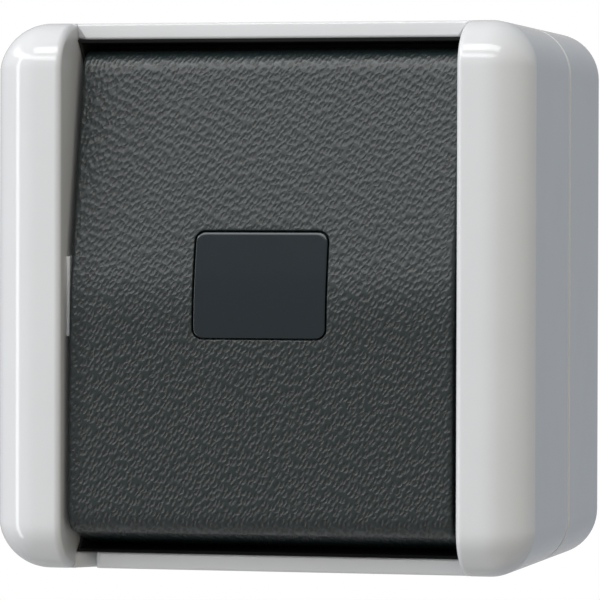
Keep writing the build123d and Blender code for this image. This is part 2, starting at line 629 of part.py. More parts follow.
def make_yoke_screws():
    return [screw(YOKE_FRONT, YOKE_SCREW_LENGTH, (side * YOKE_SCREW_X, 0)) for side in SIDES]


def make_cable_grommets():
    recess_z = HEIGHT / 2 - ENTRY_RECESS_DEPTH
    web_z = recess_z - ENTRY_WEB
    neck_r = ENTRY_HOLE_R - GROMMET_FIT
    flange_r = ENTRY_RECESS_R - 2 * GROMMET_FIT
    nose_z = web_z - GROMMET_FLANGE - GROMMET_NOSE
    profile = Polygon(
        (CABLE_R, recess_z + GROMMET_FLANGE), (flange_r, recess_z + GROMMET_FLANGE),
        (flange_r, recess_z), (neck_r, recess_z), (neck_r, web_z), (flange_r - 0.3, web_z),
        (flange_r - 0.3, web_z - GROMMET_FLANGE), (neck_r, web_z - GROMMET_FLANGE),
        (CABLE_R + 0.9, nose_z), (CABLE_R, nose_z), align=None)
    ring = Pos(0, -ENTRY_HEIGHT, 0) * revolve(Plane.XZ * profile, Axis.Z)
    return [ring, mirror(ring, Plane.XY)]


def make_mounting_yoke():
    yoke = plate(2 * YOKE_HALF_X, 2 * YOKE_HALF_Z, YOKE_HEIGHT, YOKE_FRONT, YOKE_CORNER_R)
    yoke += plate(2 * YOKE_EAR_X, 2 * YOKE_EAR_Z, YOKE_HEIGHT, YOKE_FRONT, YOKE_CORNER_R)
    yoke -= plate(2 * (COVER_PLATE_HALF_X + COVER_PLATE_FIT), 2 * (COVER_PLATE_HALF_Z + COVER_PLATE_FIT),
                  YOKE_HEIGHT, YOKE_FRONT, 1.0)
    for side in SIDES:
        yoke -= disc(POST_R + YOKE_POST_GAP, YOKE_HEIGHT, YOKE_FRONT,
                     (side * COVER_SCREW_X, side * COVER_SCREW_Z))
        yoke -= slot(2 * (SCREW_R + SCREW_HOLE_PLAY) + YOKE_SLOT_EXTRA, SCREW_R + SCREW_HOLE_PLAY,
                     YOKE_HEIGHT, YOKE_FRONT, (side * YOKE_SCREW_X, 0))
        claw = block(sorted((side * SOCKET_HALF_X, side * (SOCKET_HALF_X + YOKE_THICK))),
                     (-CLAW_HALF_Z, CLAW_HALF_Z), YOKE_HEIGHT - CLAW_LENGTH, YOKE_HEIGHT)
        claw = fillet(claw.edges().filter_by(Axis.X).sort_by(Axis.Y)[-2:], 1.5)
        catch_back = YOKE_HEIGHT - CLAW_LENGTH / 2 - CATCH_HEIGHT / 2 - COVER_PLATE_FIT
        claw -= block(sorted((side * SOCKET_HALF_X, side * (SOCKET_HALF_X + YOKE_THICK))),
                      (-CATCH_HALF_Z - COVER_PLATE_FIT, CATCH_HALF_Z + COVER_PLATE_FIT),
                      catch_back, catch_back + CATCH_HEIGHT + 2 * COVER_PLATE_FIT)
        yoke += claw
    return yoke


def strip_outline(side):
    """A contact strip seen from the front, from its terminal to its tip."""
    tip = (side * CONTACT_X, LEG_Z)
    elbow = (side * TERMINAL_X, LEG_Z)
    end = (side * TERMINAL_X, TERMINAL_Z + TERMINAL_LENGTH / 2)
    half = STRIP_WIDTH / 2
    foot = Pos((tip[0] + elbow[0]) / 2, LEG_Z) * Rectangle(abs(elbow[0] - tip[0]) + STRIP_WIDTH, 2 * half)
    stem = Pos(elbow[0], (LEG_Z - half + end[1]) / 2) * Rectangle(STRIP_WIDTH, end[1] - LEG_Z + half)
    return foot + stem


def make_switch_socket():
    socket = plate(2 * SOCKET_HALF_X, 2 * SOCKET_HALF_Z, SOCKET_BACK, YOKE_HEIGHT, SOCKET_CORNER_R)
    chamber_z = (LEG_Z - CHAMBER_HALF_Z, LEG_Z + CHAMBER_HALF_Z)
    socket -= block((-CHAMBER_HALF_X, CHAMBER_HALF_X), chamber_z, STRIP_BACK, YOKE_HEIGHT)
    socket -= disc(RETURN_POCKET_R, SOCKET_BACK + RETURN_POCKET_FLOOR, STRIP_BACK, (0, LEG_Z))
    pocket_x = TERMINAL_WIDTH / 2 + TERMINAL_FIT
    pocket_z = TERMINAL_LENGTH / 2 + TERMINAL_FIT
    for side in SIDES:
        x = side * TERMINAL_X
        socket -= block((x - pocket_x, x + pocket_x), (TERMINAL_Z - pocket_z, TERMINAL_Z + pocket_z),
                        STRIP_FRONT, YOKE_HEIGHT)
        groove = offset(strip_outline(side), TERMINAL_FIT)
        socket -= extrude(Plane.XZ.offset(STRIP_BACK) * groove, YOKE_HEIGHT - STRIP_BACK)
        wire_height = STRIP_FRONT + WIRE_HOLE_BACK
        socket -= upright(WIRE_HOLE_R + TERMINAL_FIT, TERMINAL_Z, SOCKET_HALF_Z, x, wire_height)
        catch_back = YOKE_HEIGHT - CLAW_LENGTH / 2 - CATCH_HEIGHT / 2
        wedge = Polygon((0, 0), (CATCH_PROUD, CATCH_HEIGHT), (0, CATCH_HEIGHT), align=None)
        wedge = extrude(Plane.XY * Pos(SOCKET_HALF_X, -catch_back - CATCH_HEIGHT) * Pos(0, CATCH_HEIGHT)
                        * mirror(wedge, Plane.XZ), CATCH_HALF_Z, both=True)
        socket += wedge if side > 0 else mirror(wedge, Plane.YZ)
    for z in RIVET_Z:
        socket -= disc(RIVET_R + RIVET_PLAY, SOCKET_BACK, YOKE_HEIGHT, (0, z))
    return socket


def make_socket_cover():
    lid = plate(2 * COVER_PLATE_HALF_X, 2 * COVER_PLATE_HALF_Z, YOKE_HEIGHT, COVER_PLATE_FRONT, 1.0)
    lid = chamfer(lid.faces().sort_by(Axis.Y)[0].edges(), 0.4)
    lid += disc(SLEEVE_R, YOKE_HEIGHT, SLEEVE_TOP, (0, LEG_Z))
    lid -= disc(PLUNGER_R + SLEEVE_PLAY, YOKE_HEIGHT, SLEEVE_TOP, (0, LEG_Z))
    for side in SIDES:
        lid -= disc(SCREW_HEAD_R + TERMINAL_FIT, YOKE_HEIGHT, COVER_PLATE_FRONT,
                    (side * TERMINAL_X, TERMINAL_Z))
    for z in RIVET_Z:
        lid -= disc(RIVET_R + RIVET_PLAY, YOKE_HEIGHT, COVER_PLATE_FRONT, (0, z))
    return lid


def make_socket_rivets():
    rivets = []
    for z in RIVET_Z:
        rivet = disc(RIVET_R, SOCKET_BACK - RIVET_HEAD_HEIGHT, COVER_PLATE_FRONT + RIVET_HEAD_HEIGHT, (0, z))
        head = disc(RIVET_HEAD_R, COVER_PLATE_FRONT, COVER_PLATE_FRONT + RIVET_HEAD_HEIGHT, (0, z))
        rivet += fillet(head.edges().sort_by(Axis.Y)[0], RIVET_HEAD_HEIGHT * 0.7)
        rivet += disc(RIVET_HEAD_R, SOCKET_BACK - RIVET_HEAD_HEIGHT, SOCKET_BACK, (0, z))
        rivets.append(rivet)
    return rivets


def make_contact(side):
    strip = extrude(Plane.XZ.offset(STRIP_BACK) * strip_outline(side), STRIP_THICK)
    corners = strip.edges().filter_by(Axis.Y)
    return fillet(corners, 0.8)


def contact_tips(back):
    return [disc(TIP_R, back, back + TIP_THICK, (side * CONTACT_X, LEG_Z)) for side in SIDES]


def terminal(x, z, back, width, length, wire_lift):
    """A brass block with a wire hole along Z and a screw hole from the front."""
    front = back + TERMINAL_HEIGHT
    body = plate(width, length, back, front, 0.6, at=(x, z))
    body -= upright(WIRE_HOLE_R, z - length / 2, z + length / 2, x, back + wire_lift)
    return body - disc(SCREW_R + SCREW_PILOT_PLAY, back + wire_lift, front, (x, z))


def make_terminal_blocks():
    return [terminal(side * TERMINAL_X, TERMINAL_Z, STRIP_FRONT, TERMINAL_WIDTH, TERMINAL_LENGTH,
                     WIRE_HOLE_BACK) for side in SIDES]


def make_earth_terminal():
    return terminal(EARTH_X, EARTH_Z, FLOOR, EARTH_WIDTH, EARTH_WIDTH, WIRE_HOLE_BACK)


def make_terminal_screws():
    seat_lift = TERMINAL_HEIGHT + TERMINAL_FIT
    length = seat_lift - WIRE_HOLE_BACK - WIRE_HOLE_R
    places = [(side * TERMINAL_X, TERMINAL_Z, STRIP_FRONT) for side in SIDES]
    places.append((EARTH_X, EARTH_Z, FLOOR))
    return [screw(back + seat_lift, length, (x, z), slotted=True) for x, z, back in places]


def make_plunger():
    carrier = block((-CARRIER_HALF_X, CARRIER_HALF_X), (LEG_Z - CARRIER_HALF_Z, LEG_Z + CARRIER_HALF_Z),
                    CARRIER_BACK, CARRIER_FRONT)
    carrier = fillet(carrier.edges().filter_by(Axis.Y), 0.5)
    window = BRIDGE_WIDTH / 2 + BRIDGE_FIT
    carrier -= block((-CARRIER_HALF_X, CARRIER_HALF_X), (LEG_Z - window, LEG_Z + window),
                     BRIDGE_BACK, CARRIER_WINDOW_FRONT)
    stem = disc(PLUNGER_R, CARRIER_WINDOW_FRONT, PLUNGER_TIP, (0, LEG_Z))
    stem = fillet(stem.edges().sort_by(Axis.Y)[0], PLUNGER_TIP_R)
    return carrier + stem


def make_moving_contact():
    length = 2 * (CONTACT_X + BRIDGE_OVERHANG)
    return plate(length, BRIDGE_WIDTH, BRIDGE_BACK, BRIDGE_FRONT, 1.2, at=(0, LEG_Z))


def make_contact_spring():
    return coil(CONTACT_SPRING_R, CONTACT_SPRING_WIRE_R, CONTACT_SPRING_TURNS,
                BRIDGE_FRONT, CARRIER_WINDOW_FRONT, (0, LEG_Z))


def make_return_spring():
    return coil(RETURN_SPRING_R, RETURN_SPRING_WIRE_R, RETURN_SPRING_TURNS,
                SOCKET_BACK + RETURN_POCKET_FLOOR, CARRIER_BACK, (0, LEG_Z))


PIECES = {
    "rear_box": make_rear_box,
    "box_seal": make_box_seal,
    "cover_frame": make_cover_frame,
    "seal_membrane": make_seal_membrane,
    "cover_screws": make_cover_screws,
    "cable_grommets": make_cable_grommets,
    "mounting_yoke": make_mounting_yoke,
    "yoke_screws": make_yoke_screws,
    "switch_socket": make_switch_socket,
    "socket_cover": make_socket_cover,
    "socket_rivets": make_socket_rivets,
    "line_contact": lambda: make_contact(-1),
    "load_contact": lambda: make_contact(1),
    "fixed_contact_tips": lambda: contact_tips(STRIP_FRONT),
    "terminal_blocks": make_terminal_blocks,
    "terminal_screws": make_terminal_screws,
    "earth_terminal": make_earth_terminal,
    "rocker": make_rocker,
    "window_lens": make_window_lens,
    "label_insert": make_label_insert,
    "plunger": make_plunger,
    "moving_contact": make_moving_contact,
    "moving_contact_tips": lambda: contact_tips(MOVING_TIP_BACK),
    "contact_spring": make_contact_spring,
    "return_spring": make_return_spring,
}

os.makedirs("parts", exist_ok=True)
for name, make in PIECES.items():
    made = make()
    node = Compound(children=[Part() + solid for solid in made]) if isinstance(made, list) else made
    node.label = name
    export_step(node, f"parts/{name}.step")
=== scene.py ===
import math

import bpy
import numpy as np
from bpy.props import FloatProperty, IntProperty, PointerProperty, StringProperty
from mathutils import Matrix, Vector


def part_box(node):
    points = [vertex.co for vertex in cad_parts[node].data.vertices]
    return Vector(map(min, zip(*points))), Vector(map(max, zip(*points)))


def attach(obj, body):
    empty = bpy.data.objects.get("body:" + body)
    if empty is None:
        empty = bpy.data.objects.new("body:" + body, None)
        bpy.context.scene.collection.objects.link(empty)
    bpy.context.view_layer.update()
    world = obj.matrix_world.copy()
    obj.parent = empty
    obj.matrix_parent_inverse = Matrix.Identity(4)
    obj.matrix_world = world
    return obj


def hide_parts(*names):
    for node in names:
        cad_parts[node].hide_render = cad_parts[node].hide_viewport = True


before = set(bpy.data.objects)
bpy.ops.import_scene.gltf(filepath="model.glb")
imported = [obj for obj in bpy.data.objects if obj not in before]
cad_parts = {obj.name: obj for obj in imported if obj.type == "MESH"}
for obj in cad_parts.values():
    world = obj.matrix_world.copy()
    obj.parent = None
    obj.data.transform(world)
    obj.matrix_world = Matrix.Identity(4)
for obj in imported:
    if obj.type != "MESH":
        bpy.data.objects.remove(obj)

bl_info = {
    "name": "Rocker pushbutton switch",
    "version": (1, 0, 0),
    "blender": (4, 5, 0),
    "location": "View3D > Sidebar > Switch",
    "description": "Builds the skin, finishes and studio of a surface-mounted rocker pushbutton",
    "category": "Object",
}

MM = 0.001


# Settings


def length(name, description, millimetres):
    """A length that the user can change, given in millimetres and kept in metres."""
    return FloatProperty(
        name=name, description=description, default=millimetres * MM, unit="LENGTH")


def number(name, description, default):
    """A plain number that the user can change."""
    return FloatProperty(name=name, description=description, default=default)


def colour(name, description, code):
    """A colour that the user can change, as an sRGB hex code."""
    return StringProperty(name=name, description=description, default=code)


class SwitchCoverSettings(bpy.types.PropertyGroup):
    rail_width: length("Rail width", "Width of each side rail of the cover", 10.0)
    rail_round: length("Rail rounding", "Radius of the rail's outer rounding", 7.0)
    rail_drop: length("Rail drop", "Depth at which the rounding meets the side wall", 4.8)
    rail_inner_round: length("Inner rounding", "Radius of the rail's edge beside the rocker", 0.9)
    end_rise: length("End rise", "Height over which the end of a rail curves back", 6.5)
    end_setback: length("End setback", "Depth of the lips and rail ends behind the rail front", 7.9)
    lip_thickness: length("Lip thickness", "Thickness of the lips above and below the rocker", 2.2)
    lip_round: length("Lip rounding", "Radius of the lips' front edges", 0.4)
    corner_round: length("Corner rounding", "Radius of the housing's upright corners", 6.7)
    well_depth: length("Well depth", "Depth of the well's floor behind the rail front", 22.5)
    floor_thickness: length("Well floor", "Thickness of the well's floor", 1.6)
    wall: length("Wall", "Wall thickness of the cover at the seam", 2.4)
    seam_chamfer: length("Seam chamfer", "Chamfer along the cover's rear edge", 0.3)
    seam_height: length("Seam height", "Distance of the cover's rear edge from the wall", 23.9)
    notch_width: length("Notch width", "Width of the release notch in the lower lip", 2.8)
    notch_depth: length("Notch depth", "Depth of the release notch where its ramp ends", 3.0)
    notch_lead: length("Notch lead", "Length over which the step's front edge is cut back", 0.8)
    facet_width: length("Facet width", "Width of the facet where the upper lip meets a rail", 1.5)
    facet_depth: length("Facet depth", "Depth of that facet", 1.0)
    port_z: length("Port height", "Height of the plunger's port in the well's floor", -14.0)
    port_radius: length("Port radius", "Radius of the plunger's port", 3.6)
    boss_height: length("Boss height", "Height of the pivot boss on each rail", 11.0)
    boss_proud: length("Boss thickness", "How far the pivot boss stands off the rail", 0.45)
    boss_depth: length("Boss depth", "Front of the pivot boss behind the rail front", 3.4)


class SwitchRockerSettings(bpy.types.PropertyGroup):
    half_width: length("Half width", "Half the width of the rocker", 26.75)
    wall: length("Front wall", "Wall thickness of the rocker's front", 1.8)
    side_wall: length("Side wall", "Wall thickness of the rocker's sides", 1.6)
    edge_round: length("Edge rounding", "Radius of the rocker's side edges", 0.5)
    back_depth: length("Back depth", "Rear edge of the rocker behind the rail front", 15.5)
    crest_depth: length("Crest depth", "Depth of the bend between the two halves", 1.9)
    lower_depth: length("Lower depth", "Depth of the lower half near its end", 1.4)
    upper_depth: length("Upper depth", "Depth of the upper half at its end", 8.6)
    bend_round: length("Bend radius", "Radius of the soft bend between the two halves", 40.0)
    top_round: length("Top roll", "Radius of the rolled upper end", 3.6)
    bottom_round: length("Bottom roll", "Radius at the front of the rolled lower end", 2.6)
    slope_rise: length(
        "Slope rise", "Height of the lower end's slope, from its roll to the heel", 2.5)
    slope_run: length("Slope run", "Depth of the lower end's slope", 10.8)
    heel_round: length("Heel radius", "Radius further back on the lower end", 9.0)
    window_width: length("Window width", "Width of the window", 18.4)
    window_height: length("Window height", "Height of the window", 14.4)
    window_round: length("Window corner", "Corner radius of the window", 1.3)
    window_z: length("Window middle", "Height of the window's middle above the pivot", 1.7)
    window_gap: length("Window groove", "Groove between window and rocker", 0.2)
    window_proud: length("Window proud", "How far the window stands off the rocker", 0.1)
    window_bevel: length("Window bevel", "Rounding of the window's rim", 0.25)
    window_thickness: length("Window thickness", "Thickness of the window", 1.2)
    label_thickness: length("Label thickness", "Thickness of the card behind the window", 0.25)
    groove_round: length("Groove edge", "Radius of the rocker's edge round the window", 0.15)
    pin_radius: length("Pivot radius", "Radius of the stub pivots", 2.0)
    pin_depth: length("Pivot depth", "Depth of the pivot axis behind the rail front", 12.0)
    leg_z: length("Leg height", "Height of the leg that pushes the plunger", -14.0)
    leg_width: length("Leg width", "Width of the leg", 6.0)
    leg_thickness: length("Leg thickness", "Thickness of the leg", 3.0)
    leg_depth: length("Leg depth", "Tip of the leg behind the rail front", 18.7)


class SwitchFinishSettings(bpy.types.PropertyGroup):
    housing_hex: colour("Housing", "sRGB colour of the housing", "C9CBCD")
    rocker_hex: colour("Rocker", "sRGB colour of the rocker", "121D1E")
    window_hex: colour("Window", "sRGB colour of the window", "05151B")
    grain_size: length("Grain size", "Distance between two pits of the rocker's grain", 0.58)
    grain_depth: length("Grain depth", "Depth of the rocker's grain", 0.1)
    grain_slant: number("Grain slant", "Lean of the grain to the right, in degrees", 28.0)


class SwitchStageSettings(bpy.types.PropertyGroup):
    image_size: IntProperty(
        name="Image size", description="Width and height of the image in pixels", default=600)
    focal_pixels: number("Focal length", "Focal length in pixels", 4563.8)
    distance: length("Distance", "Camera distance from the front plane", 613.2)
    azimuth: number("Azimuth", "Camera angle round the upright axis, in degrees", 13.75)
    elevation: number("Elevation", "Camera angle above the horizon, in degrees", 0.91)
    roll: number("Roll", "Camera roll in degrees", 0.156)
    target_x: length("Target X", "Point looked at in the front plane, along X", 6.2)
    target_z: length("Target Z", "Point looked at in the front plane, along Z", -0.23)
    floor_drop: length("Floor drop", "Distance of the floor below the switch's middle", 1000.0)
    floor_reach: length("Floor reach", "Half the width of the floor", 400.0)
    left_fill: number("Left fill", "Level of the even light from the left", 0.46)
    front_fill: number("Front fill", "Level of the even light from the front", 0.475)
    right_fill: number("Right fill", "Level of the even light from the right", 0.48)
    back_fill: number("Back fill", "Level of the even light from behind", 0.43)
    high_band: number("High band", "Level added in the soft band high in front", 5.3)
    front_hex: colour("Front tint", "sRGB tint of the even light in front", "FEFEFF")
    right_hex: colour("Right tint", "sRGB tint of the even light from the right", "FFF8EA")
    back_hex: colour("Back tint", "sRGB tint of the even light behind", "DCE8F8")
    top_radiance: number("Top panel", "Radiance of the panel above", 5.4)
    strip_radiance: number("Left strip", "Radiance of the strip at the left", 5.3)


# Meshes


def grid_quads(shape, start, flip=False):
    """Quads of a rows x columns grid of points numbered from start."""
    rows, cols = shape
    n = np.arange(rows * cols).reshape(rows, cols) + start
    quads = np.stack([n[:-1, :-1], n[:-1, 1:], n[1:, 1:], n[1:, :-1]], axis=-1).reshape(-1, 4)
    return quads[:, ::-1] if flip else quads


def merge_grids(grids, tolerance=1e-7):
    """Points and faces of several (points, flip) grids, with equal points made one."""
    points, quads, start = [], [], 0
    for grid, flip in grids:
        quads.append(grid_quads(grid.shape[:2], start, flip))
        points.append(grid.reshape(-1, 3))
        start += points[-1].shape[0]
    points, quads = np.concatenate(points), np.concatenate(quads)
    keys = np.round(points / tolerance).astype(np.int64)
    _, first, same = np.unique(keys, axis=0, return_index=True, return_inverse=True)
    quads = same.reshape(-1)[quads]
    faces = []
    for quad in quads.tolist():
        ring = [v for i, v in enumerate(quad) if v != quad[i - 1]]
        if len(set(ring)) == len(ring) and len(ring) > 2:
            faces.append(ring)
    return points[first], faces


def new_piece(name, grids, material, body, sharp=30.0):
    """A mesh object from grids that rides a body, smooth but for edges over sharp degrees."""
    points, faces = merge_grids(grids)
    mesh = bpy.data.meshes.new(name)
    mesh.from_pydata(points.tolist(), [], faces, shade_flat=False)
    mesh.validate()
    mesh.update()
    mesh.set_sharp_from_angle(angle=math.radians(sharp))
    mesh.materials.append(material)
    obj = bpy.data.objects.new(name, mesh)
    bpy.context.scene.collection.objects.link(obj)
    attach(obj, body)
    return obj


def along(a, b, n):
    """n evenly spaced values from a to b."""
    return np.linspace(a, b, n)


def mirrored(grids, axis):
    """The same grids mirrored across the plane square to axis."""
    sign = np.ones(3)
    sign[axis] = -1.0
    return [(grid * sign, not flip) for grid, flip in grids]


def ruled(first, last, steps):
    """Grid between two rows of points, one column for each value in steps from 0 to 1."""
    t = np.asarray(steps)[None, :, None]
    return first[:, None, :] * (1 - t) + last[:, None, :] * t


def straight_back(row, y, steps):
    """Grid from a row of points along Y to y, with columns as in ruled."""
    back = row.copy()
    back[:, 1] = y
    return ruled(row, back, steps)


def rounded_block(low, high, radius, steps=4):
    """A closed block with every edge rounded: a sphere pushed apart along the axes."""
    low, high = np.array(low), np.array(high)
    quarter = along(0, math.pi / 2, steps)
    turn = np.concatenate([quarter + i * math.pi / 2 for i in range(4)])
    turn = np.append(turn, 2 * math.pi)
    rise = np.concatenate([quarter - math.pi / 2, quarter])
    signs_turn = np.repeat([[1, 1], [-1, 1], [-1, -1], [1, -1]], steps, axis=0)
    signs_turn = np.vstack([signs_turn, signs_turn[:1]])
    signs_rise = np.repeat([-1, 1], steps)
    r, t = np.meshgrid(rise, turn, indexing="ij")
    ball = np.stack([np.cos(r) * np.cos(t), np.cos(r) * np.sin(t), np.sin(r)], axis=-1)
    push = np.empty_like(ball)
    push[..., 0] = signs_turn[None, :, 0]
    push[..., 1] = signs_turn[None, :, 1]
    push[..., 2] = signs_rise[:, None]
    half = (high - low) / 2 - radius
    middle = (low + high) / 2
    block = middle + push * half + ball * radius
    bottom, top = (np.broadcast_to([middle[0], middle[1], z], block[:1].shape)
                   for z in (low[2], high[2]))
    return (np.concatenate([bottom, block, top]), False)


def ring_to(outer, centre, radius):
    """Two columns of points: a closed outline, and the circle under it about a centre.

    Each point of the circle lies in the direction of its outline point.
    """
    away = outer - centre
    away /= np.linalg.norm(away, axis=1)[:, None]
    return np.stack([outer, centre + away * radius], axis=1)


# The cover


def corner_x(z, half_x, half_z, radius):
    """Half width of the rounded outline at height z: straight sides, then a quarter circle."""
    over = np.clip(np.abs(z) - (half_z - radius), 0, radius)
    return half_x - radius + np.sqrt(radius ** 2 - over ** 2)


def outline_normal(x, z, half_x, half_z, radius):
    """Outward direction of the rounded outline at its points (x, z), both positive."""
    dx = np.clip(x - (half_x - radius), 0, None)
    dz = np.clip(z - (half_z - radius), 0, None)
    away = np.maximum(np.hypot(dx, dz), 1e-12)
    return dx / away, dz / away


def cover_grids(s):
    """The cover's skin as grids: the upper right quarter and its mirror images, then the rest.

    A rail's section is run up a path that goes straight up the front, turns
    back along a quarter ellipse and runs back to the seam. Each point of the
    section lies at its own depth along the path's inward direction. Past the
    housing's round corner, points are drawn in to the corner's radius.
    """
    low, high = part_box("cover_frame")
    half_x, half_z, front = high.x, high.z, low.y
    seam = -s.seam_height - front
    channel = half_x - s.rail_width
    lip_z = half_z - s.lip_thickness
    knee = half_z - s.end_rise
    back_end = seam - s.seam_chamfer

    # Rail section: distance from the middle and depth below the path
    inner = along(math.pi / 2, 0, 11)
    inner_x = channel + s.rail_inner_round * (1 - np.sin(inner))
    inner_n = s.rail_inner_round * (1 - np.cos(inner))
    reach = math.sqrt(s.rail_round ** 2 - (s.rail_round - s.rail_drop) ** 2)
    last = math.acos(1 - s.rail_drop / s.rail_round)
    outer = np.append(along(0, last - 0.03, 18), last)
    outer_x = half_x - reach + s.rail_round * np.sin(outer)
    outer_n = s.rail_round * (1 - np.cos(outer))
    flat_x = along(inner_x[-1], outer_x[0], 5)[1:-1]
    sec_x = np.concatenate([inner_x, flat_x, outer_x])
    sec_n = np.concatenate([inner_n, np.zeros(len(flat_x)), outer_n])

    # Path: up the front, then round the end
    straight = 13
    turn = along(0, math.pi / 2, 28)
    slope = np.hypot(s.end_setback * np.sin(turn), s.end_rise * np.cos(turn))
    path_z = np.concatenate([along(0, knee, straight + 1)[:-1], knee + s.end_rise * np.sin(turn)])
    path_d = np.concatenate([np.zeros(straight), s.end_setback * (1 - np.cos(turn))])
    in_z = np.concatenate([np.zeros(straight), -s.end_setback * np.sin(turn) / slope])
    in_d = np.concatenate([np.ones(straight), s.end_rise * np.cos(turn) / slope])

    def place(x, d, z):
        """Points at x, depth d and height z, drawn in at the housing's round corner."""
        x, d, z = np.broadcast_arrays(x, d, z)
        x = np.minimum(x, corner_x(z, half_x, half_z, s.corner_round))
        return np.stack([x, front + d, z], axis=-1)

    rail = place(sec_x[None, :], path_d[:, None] + sec_n[None, :] * in_d[:, None],
                 path_z[:, None] + sec_n[None, :] * in_z[:, None])
    back_t = np.concatenate([[0, 0.008], along(0.03, 1, 12)])
    back_d = s.end_setback + (back_end - s.end_setback) * back_t
    top_n = np.where(np.arange(len(sec_n)) < len(inner_n), 0, sec_n)
    top = place(sec_x[None, :], back_d[:, None], half_z - top_n[None, :])
    facet = np.stack([rail[-1, :len(inner_n)], top[0, :len(inner_n)]])

    side = straight_back(rail[:, -1], front + back_end, back_t)

    # Rim: chamfer, flat land, inner wall and the back of the well's floor
    loop = np.concatenate([[[0, front + back_end, half_z]], top[-1], side[::-1, -1][1:]])
    nx, nz = outline_normal(loop[:, 0], loop[:, 2], half_x, half_z, s.corner_round)
    floor_back = front + s.well_depth + s.floor_thickness

    def inset(by, y):
        """The rim's loop moved inwards by a distance, at depth y."""
        depth = np.full(len(loop), y)
        return np.stack([loop[:, 0] - nx * by, depth, loop[:, 2] - nz * by], axis=-1)

    rim = np.stack([loop, inset(s.seam_chamfer, front + seam), inset(s.wall, front + seam),
                    inset(s.wall, floor_back)], axis=1)

    # Inner wall of the rail, down to the well's floor and behind the lip
    start_z = np.append(rail[:, 0, 2], half_z)
    start_d = np.append(rail[:, 0, 1] - front, s.end_setback)
    rows = np.sort(np.append(start_z, lip_z))
    depth = np.interp(rows, start_z, start_d)

    def wall(pick, bottom):
        """Some rows of the inner wall, from the rail's edge to the depth bottom."""
        z, d = rows[pick], depth[pick]
        first = np.stack([np.full(len(z), channel), front + d, z], axis=-1)
        return straight_back(first, front + bottom, along(0, 1, 5))

    well_wall = wall(rows <= lip_z, s.well_depth)
    lip_wall = wall(rows >= lip_z, s.end_setback + s.notch_depth + 2 * s.lip_round)

    quarter = [(rail, False), (top, False), (facet, False), (side, False), (rim, True),
               (well_wall, True), (lip_wall, True)]
    half = quarter + mirrored(quarter, 2)
    grids = half + mirrored(half, 0)

    # Lips: the lower has a ramp with a step at the left, the upper has a facet at each end
    arc = along(0, math.pi / 2, 8)
    r = s.lip_round
    lip_d = np.concatenate([r * (1 - np.sin(arc)), r * (1 - np.cos(arc))])
    lip_h = np.concatenate([r * (1 - np.cos(arc)), s.lip_thickness - r * (1 - np.sin(arc))])

    def lip(stations):
        """Profiles at the given (x, extra depth), each a number or one for each point."""
        grid = []
        for x, extra in stations:
            d = np.concatenate([[s.well_depth], s.end_setback + lip_d + extra, [back_end]])
            x = np.concatenate([[np.min(x)], np.broadcast_to(x, lip_d.shape), [np.min(x)]])
            z = np.concatenate([[0], lip_h, [s.lip_thickness]]) + lip_z
            grid.append(np.stack([x, front + d, z], axis=-1))
        return np.array(grid)

    share = 1 - lip_h / s.lip_thickness
    facet_x = channel - s.facet_width * share
    upper = lip([(-channel, s.facet_depth * share), (-facet_x, 0), (0, 0), (facet_x, 0),
                 (channel, s.facet_depth * share)])
    notch_x = -channel + s.notch_width
    lower = lip([(-channel, 0), (notch_x, s.notch_depth), (notch_x, s.notch_lead),
                 (notch_x + s.notch_lead / 3, s.notch_lead / 3), (notch_x + s.notch_lead, 0),
                 (0, 0), (channel, 0)])
    grids += [(upper, True)] + mirrored([(lower, True)], 2)

    # The well's floor, front and back, each round the plunger's port
    port = np.array([0, 0, s.port_z])
    corners = np.array([[channel, 0, -lip_z], [channel, 0, lip_z], [-channel, 0, lip_z],
                        [-channel, 0, -lip_z], [channel, 0, -lip_z]])
    steps = along(0, 1, 16)
    outline = np.concatenate([ruled(corners[i:i + 1], corners[i + 1:i + 2], steps)[0, :-1]
                              for i in range(4)] + [corners[:1]])
    floor_front = np.array([0, front + s.well_depth, 0])
    floor_rear = np.array([0, floor_back, 0])
    grids.append((ring_to(outline, port, s.port_radius) + floor_front, True))
    quarter = inset(s.wall, 0.0)
    behind = np.concatenate([quarter, quarter[::-1] * [1, 1, -1],
                             quarter * [-1, 1, -1], quarter[::-1] * [-1, 1, 1]])
    grids.append((ring_to(behind, port, s.port_radius) + floor_rear, False))
    turn = along(0, 2 * math.pi, 49)
    circle = np.stack([np.cos(turn), np.zeros(len(turn)), np.sin(turn)], axis=-1)
    tube = port + s.port_radius * circle
    grids.append((ruled(tube + floor_front, tube + floor_rear, [0, 1]), True))
    boss_edge = 0.2 * MM
    boss = rounded_block(
        (channel - s.boss_proud, front + s.boss_depth, -s.boss_height / 2),
        (channel + s.boss_proud, front + s.well_depth, s.boss_height / 2), boss_edge)
    return grids + [boss] + mirrored([boss], 0)


# The rocker and its window


